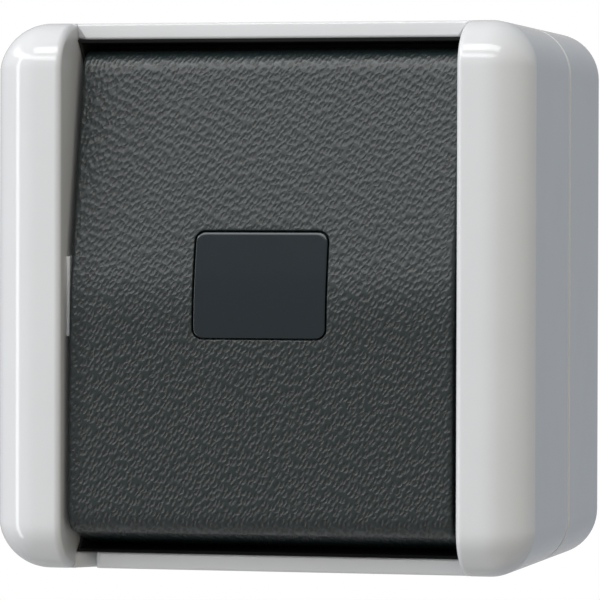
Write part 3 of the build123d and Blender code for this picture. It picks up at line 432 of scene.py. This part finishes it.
def filleted(points, radii, spacing):
    """A line through points with its corners rounded to arcs, and the arc length at each point.

    The line is sampled again in even steps of about spacing.
    """
    points = [np.array(p, dtype=float) for p in points]
    line = [points[0]]
    for i, radius in enumerate(radii, start=1):
        a, b, c = points[i - 1], points[i], points[i + 1]
        u, v = (a - b) / np.linalg.norm(a - b), (c - b) / np.linalg.norm(c - b)
        half = math.acos(np.clip(np.dot(u, v), -1, 1)) / 2
        start, end = b + u * radius / math.tan(half), b + v * radius / math.tan(half)
        centre = b + (u + v) / np.linalg.norm(u + v) * radius / math.sin(half)
        sweep = math.pi - 2 * half
        p, q = (start - centre) / radius, (end - centre) / radius
        for t in along(0, 1, 24):
            turned = np.sin((1 - t) * sweep) * p + np.sin(t * sweep) * q
            line.append(centre + radius * turned / math.sin(sweep))
    line = np.array(line + [points[-1]])
    run = np.concatenate([[0], np.cumsum(np.linalg.norm(np.diff(line, axis=0), axis=1))])
    even = along(0, run[-1], int(run[-1] / spacing) + 1)
    return np.stack([np.interp(even, run, line[:, k]) for k in range(2)], axis=-1), even


class RockerFace:
    """The rocker's front as a surface over its width and the length along its side view."""

    def __init__(self, s):
        low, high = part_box("rocker")
        self.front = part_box("cover_frame")[0].y
        self.back_depth = s.back_depth
        top, bottom = high.z, low.z
        points = [(top, s.back_depth), (top, s.upper_depth), (0, s.crest_depth),
                  (bottom + s.slope_rise, s.lower_depth), (bottom, s.lower_depth + s.slope_run),
                  (bottom, s.back_depth)]
        radii = [s.top_round, s.bend_round, s.bottom_round, s.heel_round]
        self.line, self.run = filleted(points, radii, 0.15 * MM)
        tangent = np.gradient(self.line, axis=0)
        tangent /= np.linalg.norm(tangent, axis=1)[:, None]
        self.inward = np.stack([tangent[:, 1], -tangent[:, 0]], axis=-1)
        self.length = self.run[-1]

    def place(self, x, run, depth=0.0):
        """Points at x, at a length along the side view and a depth below the surface."""
        z, d, nz, nd = (np.interp(run, self.run, column) for column in
                        (self.line[:, 0], self.line[:, 1], self.inward[:, 0], self.inward[:, 1]))
        x, y, z = np.broadcast_arrays(x, self.front + d + depth * nd, z + depth * nz)
        return np.stack([x, y, z], axis=-1)

    def place_loops(self, loops):
        """A grid whose columns are (outline, depth) pairs laid on the surface, each closed."""
        columns = []
        for loop, depth in loops:
            loop = np.concatenate([loop, loop[:1]])
            columns.append(self.place(loop[:, 0], self.run_at(loop[:, 1]), depth))
        return np.stack(columns, axis=1)

    def skirt(self, row):
        """A wall from a row of points straight back to the rocker's rear edge."""
        return straight_back(row, self.front + self.back_depth, along(0, 1, 6))

    def run_at(self, z):
        """Length along the side view where its two halves, clear of the ends, pass height z."""
        pick = (self.run > 4 * MM) & (self.run < self.length - 14 * MM)
        return np.interp(-z, -self.line[pick, 0], self.run[pick])


def window_loop(s, grow, per_side=60):
    """The window's outline as (x, z): a rectangle with rounded corners, grown on all sides.

    It has four runs with as many points each, from the middle of one corner
    to the middle of the next.
    """
    r = s.window_round + grow
    straight_x = s.window_width / 2 - s.window_round
    straight_z = s.window_height / 2 - s.window_round
    corner = along(0, math.pi / 4, 7)
    loop = []
    for quarter, (run, rise) in enumerate(((straight_x, straight_z), (straight_z, straight_x)) * 2):
        low = np.stack([run + r * np.cos(corner[::-1]), -rise - r * np.sin(corner[::-1])], axis=-1)
        high = np.stack([run + r * np.cos(corner), rise + r * np.sin(corner)], axis=-1)
        side = np.concatenate([low, high])
        walk = np.concatenate([[0], np.cumsum(np.linalg.norm(np.diff(side, axis=0), axis=1))])
        t = along(0, 1, per_side)[:-1] * walk[-1]
        x, z = (np.interp(t, walk, side[:, k]) for k in range(2))
        c, q = math.cos(quarter * math.pi / 2), math.sin(quarter * math.pi / 2)
        loop.append(np.stack([x * c - z * q, x * q + z * c], axis=-1))
    loop = np.concatenate(loop)
    loop[:, 1] += s.window_z
    return loop


def towards_middle(s, loop, count):
    """The outline and smaller copies of it, down to the window's middle."""
    middle = np.array([0.0, s.window_z])
    return [middle + (loop - middle) * t for t in along(1, 0, count)]


def rocker_grids(s):
    """The rocker's skin: rings from the window's groove to the edge, side edges and skirts.

    Each ring is a mix of the window's outline and the edge of the front, laid
    on the roof-shaped side view. The side edges are quarter rounds, and the
    skirts run straight back from them. The inside is the same surface one
    wall deeper, and a strip along the rear edge joins the two.
    """
    face = RockerFace(s)
    flat_x = s.half_width - s.edge_round
    r = s.groove_round
    per_side = 120
    hole = window_loop(s, s.window_gap + r, per_side)
    hole_run = face.run_at(hole[:, 1])
    n = per_side - 1
    t = along(0, 1, per_side)[:-1]
    edge = np.concatenate([
        np.stack([np.full(n, flat_x), face.length * (1 - t)], axis=-1),
        np.stack([flat_x * (1 - 2 * t), np.zeros(n)], axis=-1),
        np.stack([np.full(n, -flat_x), face.length * t], axis=-1),
        np.stack([flat_x * (2 * t - 1), np.full(n, face.length)], axis=-1)])
    start = np.stack([hole[:, 0], hole_run], axis=-1)
    mix = along(0, 1, 76) ** 1.15
    rings = start[:, None, :] * (1 - mix[None, :, None]) + edge[:, None, :] * mix[None, :, None]
    rings = np.concatenate([rings, rings[:1]])
    front = face.place(rings[..., 0], rings[..., 1])

    # Rim of the pocket: a small round, a straight wall and the floor under the label
    bend = along(0, math.pi / 2, 5)
    pocket_depth = s.window_thickness - s.window_proud + s.label_thickness
    steps = [(s.window_gap + r * (1 - math.sin(b)), r * (1 - math.cos(b))) for b in bend]
    loops = [(window_loop(s, grow, per_side), depth) for grow, depth in steps]
    foot = window_loop(s, s.window_gap, per_side)
    loops += [(shrunk, pocket_depth) for shrunk in towards_middle(s, foot, 9)]
    pocket = face.place_loops(loops)

    run = face.length * along(0, 1, per_side)
    bend = along(0, math.pi / 2, 6)
    round_x = flat_x + s.edge_round * np.sin(bend)
    round_n = s.edge_round * (1 - np.cos(bend))
    rounds = face.place(round_x[None, :], run[:, None], round_n[None, :])
    skirt = face.skirt(rounds[:, -1])

    # Inside of the shell, and the rear edge between the two
    inner_x = s.half_width - s.side_wall
    inside = face.place(along(-inner_x, inner_x, per_side)[None, :], run[:, None], s.wall)
    inner_skirt = face.skirt(inside[:, -1])
    rear = np.stack([skirt[:, -1], inner_skirt[:, -1]], axis=1)
    sides = [(rounds, True), (skirt, True), (inner_skirt, False), (rear, True)]
    grids = [(front, False), (pocket, True), (inside, False)] + sides + mirrored(sides, 0)
    left = np.array([-1, 1, 1])
    for end, edge_row in ((0, front[n:2 * n + 1, -1][::-1]), (-1, front[3 * n:, -1])):
        outer = np.concatenate([rounds[end, :0:-1] * left, edge_row, rounds[end, 1:]])
        inner = np.concatenate([inside[end, :1]] * (len(bend) - 1) + [inside[end]]
                               + [inside[end, -1:]] * (len(bend) - 1))
        grids.append((np.stack([outer, inner]), end != 0))

    # Stub pivots and the leg
    axis_y = face.front + s.pin_depth
    pin_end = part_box("rocker")[1].x
    tip = 0.2 * s.pin_radius
    profile = np.array([[inner_x, 0], [inner_x, s.pin_radius], [pin_end - tip, s.pin_radius],
                        [pin_end, s.pin_radius - tip], [pin_end, 0]])
    turn = along(0, 2 * math.pi, 33)[:, None]
    out, radius = profile[None, :, 0], profile[None, :, 1]
    pin = np.stack(np.broadcast_arrays(
        out, axis_y + radius * np.cos(turn), radius * np.sin(turn)), axis=-1)
    leg_start = face.front + s.crest_depth + s.wall
    leg = rounded_block((-s.leg_width / 2, leg_start, s.leg_z - s.leg_thickness / 2),
                        (s.leg_width / 2, face.front + s.leg_depth, s.leg_z + s.leg_thickness / 2),
                        0.45 * s.leg_thickness)
    return grids + [(pin, True), leg] + mirrored([(pin, True)], 0)


def window_grids(s):
    """The window: its rim, a rounded edge and rings that shrink to its middle.

    All of it is laid on the rocker's roof-shaped side view.
    """
    face = RockerFace(s)
    back = s.window_thickness - s.window_proud
    b = s.window_bevel
    loops = [(shrunk, back) for shrunk in towards_middle(s, window_loop(s, 0.0), 9)[::-1]]
    for a in along(0, math.pi / 2, 6):
        rim = window_loop(s, -b * (1 - math.cos(a)))
        loops.append((rim, b * (1 - math.sin(a)) - s.window_proud))
    loops += [(shrunk, -s.window_proud) for shrunk in towards_middle(s, window_loop(s, -b), 24)[1:]]
    return [(face.place_loops(loops), True)]


# Materials


def linear(code):
    """Linear RGBA of an sRGB hex code."""
    levels = [int(code[i:i + 2], 16) / 255 for i in (0, 2, 4)]
    return tuple(v / 12.92 if v <= 0.04045 else ((v + 0.055) / 1.055) ** 2.4
                 for v in levels) + (1.0,)


def shade(code, factor):
    """The colour of a hex code with its light scaled."""
    return tuple(min(1.0, v * factor) for v in linear(code)[:3]) + (1.0,)


def add_node(tree, kind, values=(), **settings):
    """Adds a node with its properties as settings.

    values gives its inputs, each a number or another node's output.
    """
    node = tree.nodes.new(kind)
    for name, value in settings.items():
        setattr(node, name, value)
    for name, value in dict(values).items():
        if isinstance(value, bpy.types.NodeSocket):
            tree.links.new(value, node.inputs[name])
        else:
            node.inputs[name].default_value = value
    return node


def start_material(name, **values):
    """A new material, its tree, its shader with the constants set, and Object coordinates."""
    material = bpy.data.materials.new(name)
    material.use_nodes = True
    tree = material.node_tree
    shader = tree.nodes["Principled BSDF"]
    for key, value in values.items():
        shader.inputs[key].default_value = value
    coords = add_node(tree, "ShaderNodeTexCoord").outputs["Object"]
    return material, tree, shader, coords


def link_finish(tree, shader, tone, rough, bump):
    """Links a colour mix, a roughness range and a bump to the shader."""
    tree.links.new(tone.outputs[2], shader.inputs["Base Color"])
    tree.links.new(rough.outputs["Result"], shader.inputs["Roughness"])
    tree.links.new(bump.outputs["Normal"], shader.inputs["Normal"])


def per_metre(size):
    """Texture scale for features of a real size in metres."""
    return 1.0 / size


def moulded(name, code, roughness, skin, depth, ior=1.5, drift=0.03):
    """A moulded skin: a slow drift in tone, and a faint ripple of the tool's finish.

    The tone follows noise with patches of about 12 mm. The ripple is noise of
    the size skin and the height depth, and the gloss varies a little with it.
    """
    material, tree, shader, coords = start_material(name, IOR=ior)
    slow = add_node(tree, "ShaderNodeTexNoise", {
        "Vector": coords, "Scale": per_metre(12 * MM), "Detail": 2.0})
    tone = add_node(tree, "ShaderNodeMix", {
        0: slow.outputs["Fac"], 6: shade(code, 1 - drift), 7: shade(code, 1 + drift)},
        data_type="RGBA")
    fine = add_node(tree, "ShaderNodeTexNoise", {
        "Vector": coords, "Scale": per_metre(skin), "Detail": 3.0})
    rough = add_node(tree, "ShaderNodeMapRange", {
        "Value": fine.outputs["Fac"], "To Min": roughness - 0.03, "To Max": roughness + 0.03})
    bump = add_node(tree, "ShaderNodeBump", {
        "Height": fine.outputs["Fac"], "Distance": depth, "Strength": 1.0})
    link_finish(tree, shader, tone, rough, bump)
    return material


def housing_abs(finish):
    """Light grey ABS from a polished mould: a clear gloss, just softened by the skin."""
    return moulded("abs_polished_light_grey", finish.housing_hex, 0.12, 1.4 * MM, 0.0016 * MM)


def rocker_abs(finish):
    """Anthracite ABS from a spark-eroded mould: satin, with a leather grain of slanting pits.

    Each cell of a flat Voronoi pattern over X and Z has a pit about its
    middle, less glossy than the ridges. The colour holds painted shade and a
    painted highlight: it is darker in the pits and lighter on the ridges than
    the rocker's own colour. The pattern is drawn out along the slant and bent
    by noise. The pits are shallower on the upper half, and towards the left
    and the lower edge, and their painted shade is weaker there.
    """
    material, tree, shader, coords = start_material("abs_grained_anthracite", IOR=1.56)
    size, stretch = finish.grain_size, 1.9
    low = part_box("rocker")[0]
    bend = add_node(tree, "ShaderNodeTexNoise", {
        "Vector": coords, "Scale": per_metre(1.3 * size), "Detail": 1.0})
    off = add_node(tree, "ShaderNodeVectorMath", {
        0: bend.outputs["Color"], 1: (0.5, 0.5, 0.5)}, operation="SUBTRACT")
    off = add_node(tree, "ShaderNodeVectorMath", {
        0: off.outputs["Vector"], "Scale": 0.9 * size}, operation="SCALE")
    bent = add_node(tree, "ShaderNodeVectorMath", {
        0: coords, 1: off.outputs["Vector"]}, operation="ADD")
    place = add_node(tree, "ShaderNodeSeparateXYZ", {0: bent.outputs["Vector"]})
    flat = add_node(tree, "ShaderNodeCombineXYZ", {0: place.outputs["X"], 1: place.outputs["Z"]})
    slanted = add_node(tree, "ShaderNodeMapping", {
        "Vector": flat.outputs["Vector"], "Rotation": (0, 0, -math.radians(finish.grain_slant)),
        "Scale": (1.0, stretch, 1.0)}, vector_type="TEXTURE")
    cells = add_node(tree, "ShaderNodeTexVoronoi", {
        "Vector": slanted.outputs["Vector"], "Scale": per_metre(size), "Randomness": 0.7},
        feature="F1", voronoi_dimensions="2D")
    depth = add_node(tree, "ShaderNodeMapRange", {
        "Value": cells.outputs["Distance"], "From Min": 0.0, "From Max": 0.66,
        "To Min": 1.0, "To Max": 0.0}, interpolation_type="SMOOTHSTEP").outputs["Result"]
    for axis, start, end, first, last in (
            ("X", low.x, low.x + 5 * MM, 0.45, 1.0),
            ("Z", low.z, low.z + 4 * MM, 0.5, 1.0),
            ("Z", -8 * MM, 8 * MM, 1.0, 0.55)):
        fade = add_node(tree, "ShaderNodeMapRange", {
            "Value": place.outputs[axis], "From Min": start, "From Max": end,
            "To Min": first, "To Max": last}, interpolation_type="SMOOTHSTEP")
        depth = add_node(tree, "ShaderNodeMath", {
            0: depth, 1: fade.outputs["Result"]}, operation="MULTIPLY").outputs["Value"]
    bump = add_node(tree, "ShaderNodeBump", {
        "Height": depth, "Distance": finish.grain_depth, "Strength": 1.0}, invert=True)
    # Painted shade and highlight: the colour runs from lighter than the rocker's own on the ridges
    # to much darker in the pits
    tone = add_node(tree, "ShaderNodeMix", {
        0: depth, 6: shade(finish.rocker_hex, 1.1), 7: shade(finish.rocker_hex, 0.35)},
        data_type="RGBA")
    rough = add_node(tree, "ShaderNodeMapRange", {"Value": depth, "To Min": 0.33, "To Max": 0.6})
    link_finish(tree, shader, tone, rough, bump)
    return material


def window_polycarbonate(finish):
    """Smoked polycarbonate, polished: near black, with a crisp reflection."""
    return moulded("polycarbonate_smoked", finish.window_hex, 0.12, 2.5 * MM, 0.0006 * MM,
                   ior=1.58, drift=0.05)


def label_card(finish):
    """Matt card behind the window, with the faint mottle of paper fibre."""
    return moulded("card_white", "E4E2DC", 0.85, 0.3 * MM, 0.01 * MM)


def seal_rubber(finish):
    """Black EPDM rubber: matt, with a fine moulded skin."""
    return moulded("epdm_black", "1B1C1D", 0.7, 0.35 * MM, 0.006 * MM)


def grommet_rubber(finish):
    """Grey thermoplastic rubber of the cable entries: matt and a little soft."""
    return moulded("rubber_grey", "8E9194", 0.62, 0.5 * MM, 0.006 * MM)


def socket_moulding(finish):
    """Cream polyamide of the mechanism: half matt, as glass-filled parts are."""
    return moulded("polyamide_cream", "D9D3C4", 0.5, 0.5 * MM, 0.005 * MM)


def plunger_moulding(finish):
    """White acetal of the plunger: smooth and a little waxy."""
    return moulded("acetal_white", "E6E6E2", 0.35, 0.8 * MM, 0.002 * MM)


def worked_metal(name, code, roughness, grain, depth):
    """A metal with fine scratches along Z: noise drawn out along one axis.

    The noise is grain wide and twenty times as long, and it carries a slight
    change of tone and gloss and a bump of the height depth. Real scratches are
    finer, and are drawn as coarse as they need to show.
    """
    material, tree, shader, coords = start_material(name, Metallic=1.0)
    drawn = add_node(tree, "ShaderNodeMapping", {"Vector": coords, "Scale": (1.0, 1.0, 0.05)})
    fine = add_node(tree, "ShaderNodeTexNoise", {
        "Vector": drawn.outputs["Vector"], "Scale": per_metre(grain), "Detail": 4.0})
    tone = add_node(tree, "ShaderNodeMix", {
        0: fine.outputs["Fac"], 6: shade(code, 0.88), 7: shade(code, 1.08)}, data_type="RGBA")
    rough = add_node(tree, "ShaderNodeMapRange", {
        "Value": fine.outputs["Fac"], "To Min": roughness - 0.06, "To Max": roughness + 0.06})
    bump = add_node(tree, "ShaderNodeBump", {
        "Height": fine.outputs["Fac"], "Distance": depth, "Strength": 1.0})
    link_finish(tree, shader, tone, rough, bump)
    return material


def zinc_steel(finish):
    """Zinc-plated steel: bright grey with a slight satin haze."""
    return worked_metal("steel_zinc_plated", "BFC3C6", 0.36, 0.3 * MM, 0.002 * MM)


def bare_brass(finish):
    """Stamped brass, unplated: warm yellow with rolled streaks."""
    return worked_metal("brass_rolled", "C9A55C", 0.32, 0.25 * MM, 0.002 * MM)


def contact_silver(finish):
    """Silver contact alloy: white and softly bright."""
    return worked_metal("silver_alloy", "DCDAD4", 0.28, 0.2 * MM, 0.001 * MM)


def spring_wire(finish):
    """Drawn spring steel wire: darker and satin."""
    return worked_metal("spring_steel_drawn", "9A9C9E", 0.3, 0.15 * MM, 0.001 * MM)


FINISHES = {
    "housing_grey": housing_abs,
    "rocker_anthracite": rocker_abs,
    "window_smoked": window_polycarbonate,
    "label_card": label_card,
    "rubber_black": seal_rubber,
    "rubber_grey": grommet_rubber,
    "steel_zinc": zinc_steel,
    "brass_bare": bare_brass,
    "silver_contact": contact_silver,
    "spring_steel": spring_wire,
    "socket_moulding": socket_moulding,
    "plunger_moulding": plunger_moulding,
}

# Materials made so far, by slot
made = {}


def finish_for(slot):
    """The material for a slot of the record, made the first time it is asked for."""
    if slot not in made:
        made[slot] = FINISHES[slot](bpy.context.scene.switch_finish)
    return made[slot]


def finish_nodes(names):
    """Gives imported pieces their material, and shades their round faces smooth."""
    for name in names:
        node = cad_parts[name]
        for place in node.material_slots:
            place.material = finish_for(place.material.name)
        node.data.polygons.foreach_set("use_smooth", [True] * len(node.data.polygons))
        weld = node.modifiers.new("Weld", "WELD")
        weld.merge_threshold = 0.01 * MM
        split = node.modifiers.new("Split", "EDGE_SPLIT")
        split.split_angle = math.radians(28)
        node.modifiers.new("Normals", "WEIGHTED_NORMAL")


# Stage


def direction(azimuth, elevation):
    """Unit vector at these angles in degrees, both 0 straight in front of the switch."""
    a, e = math.radians(azimuth), math.radians(elevation)
    return Vector((math.sin(a) * math.cos(e), -math.cos(a) * math.cos(e), math.sin(e)))


def area_light(name, azimuth, elevation, distance, width, height, radiance, aim=(0, -0.045, 0)):
    """A soft panel that faces its aim, placed by its angles as seen from there.

    Its power is radiance times area times pi, which is what a flat panel of
    that radiance gives off.
    """
    way = direction(azimuth, elevation)
    light = bpy.data.lights.new(name, "AREA")
    light.shape = "RECTANGLE"
    light.size, light.size_y = width, height
    light.energy = radiance * width * height * math.pi
    lamp = bpy.data.objects.new(name, light)
    lamp.location = Vector(aim) + way * distance
    lamp.rotation_euler = way.to_track_quat("Z", "Y").to_euler()
    bpy.context.scene.collection.objects.link(lamp)


def studio_floor(s):
    """A plain pale floor: a flat square well below the switch."""
    points = np.array([[-1, -1, 0], [1, -1, 0], [1, 1, 0], [-1, 1, 0]]) * s.floor_reach
    points[:, 2] = -s.floor_drop
    mesh = bpy.data.meshes.new("studio_floor")
    mesh.from_pydata(points.tolist(), [], [(0, 1, 2, 3)])
    floor = bpy.data.objects.new("studio_floor", mesh)
    bpy.context.scene.collection.objects.link(floor)
    material, tree, shader, coords = start_material("paper_white", IOR=1.4, Roughness=0.9)
    grain = add_node(tree, "ShaderNodeTexNoise", {"Vector": coords, "Scale": per_metre(300 * MM)})
    tone = add_node(tree, "ShaderNodeMix", {
        0: grain.outputs["Fac"], 6: shade("F6F6F6", 0.985), 7: shade("F6F6F6", 1.0)},
        data_type="RGBA")
    tree.links.new(tone.outputs[2], shader.inputs["Base Color"])
    mesh.materials.append(material)


def studio_air(s):
    """Even light whose level follows its direction, and white behind everything.

    In front the level changes from the left to the right along X, and the
    light grows warmer. A soft band of light is added in front between 25 and
    42 degrees up, and it ends at the right. Behind, at the right, it is cooler.
    """
    world = bpy.data.worlds.new("studio_air")
    world.use_nodes = True
    bpy.context.scene.world = world
    tree = world.node_tree
    background = tree.nodes["Background"]
    coords = add_node(tree, "ShaderNodeTexCoord").outputs["Generated"]
    way = add_node(tree, "ShaderNodeSeparateXYZ", {0: coords})
    ramp = {}
    for name, axis, start, end, first, last in (
            ("left", "X", -0.9, -0.35, s.left_fill, s.front_fill),
            ("right", "X", 0.4, 1.0, 0.0, s.right_fill - s.front_fill),
            ("band foot", "Z", 0.42, 0.52, 0.0, s.high_band),
            ("band top", "Z", 0.57, 0.67, 1.0, 0.0),
            ("band end", "X", 0.15, 0.5, 1.0, 0.0),
            ("behind", "X", -0.4, 0.5, s.left_fill, s.back_fill),
            ("to behind", "Y", 0.0, 0.4, 0.0, 1.0),
            ("to warm", "X", 0.0, 0.5, 0.0, 1.0),
            ("to cool", "X", -0.2, 0.2, 0.0, 1.0)):
        node = add_node(tree, "ShaderNodeMapRange", {
            "Value": way.outputs[axis], "From Min": start, "From Max": end,
            "To Min": first, "To Max": last}, interpolation_type="SMOOTHSTEP")
        ramp[name] = node.outputs["Result"]
    even = add_node(tree, "ShaderNodeMath", {
        0: ramp["left"], 1: ramp["right"]}, operation="ADD")
    band = add_node(tree, "ShaderNodeMath", {
        0: ramp["band foot"], 1: ramp["band top"]}, operation="MULTIPLY")
    ahead = add_node(tree, "ShaderNodeMath", {
        0: band.outputs["Value"], 1: ramp["band end"], 2: even.outputs["Value"]},
        operation="MULTIPLY_ADD")
    level = add_node(tree, "ShaderNodeMix", {
        0: ramp["to behind"], 2: ahead.outputs["Value"], 3: ramp["behind"]})
    warm = add_node(tree, "ShaderNodeMix", {
        0: ramp["to warm"], 6: linear(s.front_hex), 7: linear(s.right_hex)}, data_type="RGBA")
    cool = add_node(tree, "ShaderNodeMath", {
        0: ramp["to behind"], 1: ramp["to cool"]}, operation="MULTIPLY")
    tint = add_node(tree, "ShaderNodeMix", {
        0: cool.outputs["Value"], 6: warm.outputs[2], 7: linear(s.back_hex)}, data_type="RGBA")
    light = add_node(tree, "ShaderNodeVectorMath", {
        0: tint.outputs[2], "Scale": level.outputs[0]}, operation="SCALE")
    seen = add_node(tree, "ShaderNodeLightPath").outputs["Is Camera Ray"]
    shown = add_node(tree, "ShaderNodeMix", {
        0: seen, 6: light.outputs["Vector"], 7: (1, 1, 1, 1)}, data_type="RGBA")
    tree.links.new(shown.outputs[2], background.inputs["Color"])


def studio_camera(s):
    """The camera at the photograph's angle: on a ball round the target, turned by the roll."""
    way = direction(s.azimuth, s.elevation)
    target = Vector((s.target_x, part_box("cover_frame")[0].y, s.target_z))
    camera = bpy.data.objects.new("camera", bpy.data.cameras.new("camera"))
    camera.data.sensor_width = 36.0
    camera.data.lens = s.focal_pixels * camera.data.sensor_width / s.image_size
    camera.data.clip_start, camera.data.clip_end = 0.01, 20.0
    turn = way.to_track_quat("Z", "Y").to_matrix() @ Matrix.Rotation(math.radians(s.roll), 3, "Z")
    camera.matrix_world = Matrix.Translation(target + way * s.distance) @ turn.to_4x4()
    bpy.context.scene.collection.objects.link(camera)
    bpy.context.scene.camera = camera


# Operators


class SWITCH_OT_cover(bpy.types.Operator):
    """Build the cover's skin, with its rails, lips, notch and well"""
    bl_idname = "switch.cover"
    bl_label = "Cover"

    def execute(self, context):
        piece = new_piece("cover_skin", cover_grids(context.scene.switch_cover),
                          finish_for("housing_grey"), "housing", sharp=16.0)
        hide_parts("cover_frame")
        return {"FINISHED"}


class SWITCH_OT_rocker(bpy.types.Operator):
    """Build the grained rocker"""
    bl_idname = "switch.rocker"
    bl_label = "Rocker"

    def execute(self, context):
        piece = new_piece("rocker_skin", rocker_grids(context.scene.switch_rocker),
                          finish_for("rocker_anthracite"), "rocker",
                          sharp=35.0)
        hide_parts("rocker")
        return {"FINISHED"}


class SWITCH_OT_window(bpy.types.Operator):
    """Build the smoked window"""
    bl_idname = "switch.window"
    bl_label = "Window"

    def execute(self, context):
        piece = new_piece("window_skin", window_grids(context.scene.switch_rocker),
                          finish_for("window_smoked"), "rocker", sharp=35.0)
        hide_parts("window_lens")
        return {"FINISHED"}


class SWITCH_OT_box(bpy.types.Operator):
    """Finish the wall box, its seals, cable entries and screws"""
    bl_idname = "switch.box"
    bl_label = "Wall box"

    def execute(self, context):
        finish_nodes(["rear_box", "box_seal", "seal_membrane", "cable_grommets", "cover_screws",
                      "label_insert"])
        return {"FINISHED"}


class SWITCH_OT_mechanism(bpy.types.Operator):
    """Finish the switch mechanism inside the box"""
    bl_idname = "switch.mechanism"
    bl_label = "Mechanism"

    def execute(self, context):
        finish_nodes(["mounting_yoke", "yoke_screws", "switch_socket", "socket_cover",
                      "socket_rivets", "line_contact", "load_contact", "fixed_contact_tips",
                      "terminal_blocks", "terminal_screws", "earth_terminal", "plunger",
                      "moving_contact", "moving_contact_tips", "contact_spring", "return_spring"])
        return {"FINISHED"}


class SWITCH_OT_stage(bpy.types.Operator):
    """Set up the floor, the soft lights and the camera"""
    bl_idname = "switch.stage"
    bl_label = "Stage"

    def execute(self, context):
        s = context.scene.switch_stage
        context.scene.view_settings.view_transform = "Standard"
        studio_floor(s)
        studio_air(s)
        # Azimuth and elevation in degrees, then distance, width and height in metres
        area_light("top_panel", -1.0, 59.0, 0.62, 0.6, 0.19, s.top_radiance)
        area_light("left_strip", -65.0, 0.0, 0.7, 0.105, 1.1, s.strip_radiance)
        studio_camera(s)
        return {"FINISHED"}


class SWITCH_PT_panel(bpy.types.Panel):
    """Buttons that build the switch, and its sizes and colours"""
    bl_idname = "SWITCH_PT_panel"
    bl_label = "Rocker pushbutton"
    bl_space_type = "VIEW_3D"
    bl_region_type = "UI"
    bl_category = "Switch"

    def draw(self, context):
        for group, operators in GROUPS:
            box = self.layout.box()
            for operator in operators:
                box.operator(operator.bl_idname)
            settings = getattr(context.scene, group)
            for name in settings.__annotations__:
                box.prop(settings, name)


GROUPS = (
    ("switch_cover", (SWITCH_OT_cover,)),
    ("switch_rocker", (SWITCH_OT_rocker, SWITCH_OT_window)),
    ("switch_finish", (SWITCH_OT_box, SWITCH_OT_mechanism)),
    ("switch_stage", (SWITCH_OT_stage,)),
)
SETTINGS = {
    "switch_cover": SwitchCoverSettings, "switch_rocker": SwitchRockerSettings,
    "switch_finish": SwitchFinishSettings, "switch_stage": SwitchStageSettings,
}
OPERATORS = tuple(operator for _, operators in GROUPS for operator in operators)
CLASSES = tuple(SETTINGS.values()) + OPERATORS + (SWITCH_PT_panel,)


def register():
    for cls in CLASSES:
        bpy.utils.register_class(cls)
    for name, cls in SETTINGS.items():
        setattr(bpy.types.Scene, name, PointerProperty(type=cls))


def unregister():
    for name in SETTINGS:
        delattr(bpy.types.Scene, name)
    for cls in reversed(CLASSES):
        bpy.utils.unregister_class(cls)


def main():
    """Builds every piece in order."""
    register()
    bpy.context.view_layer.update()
    bpy.ops.switch.cover()
    bpy.ops.switch.rocker()
    bpy.ops.switch.window()
    bpy.ops.switch.box()
    bpy.ops.switch.mechanism()
    bpy.ops.switch.stage()


if __name__ == "__main__":
    main()
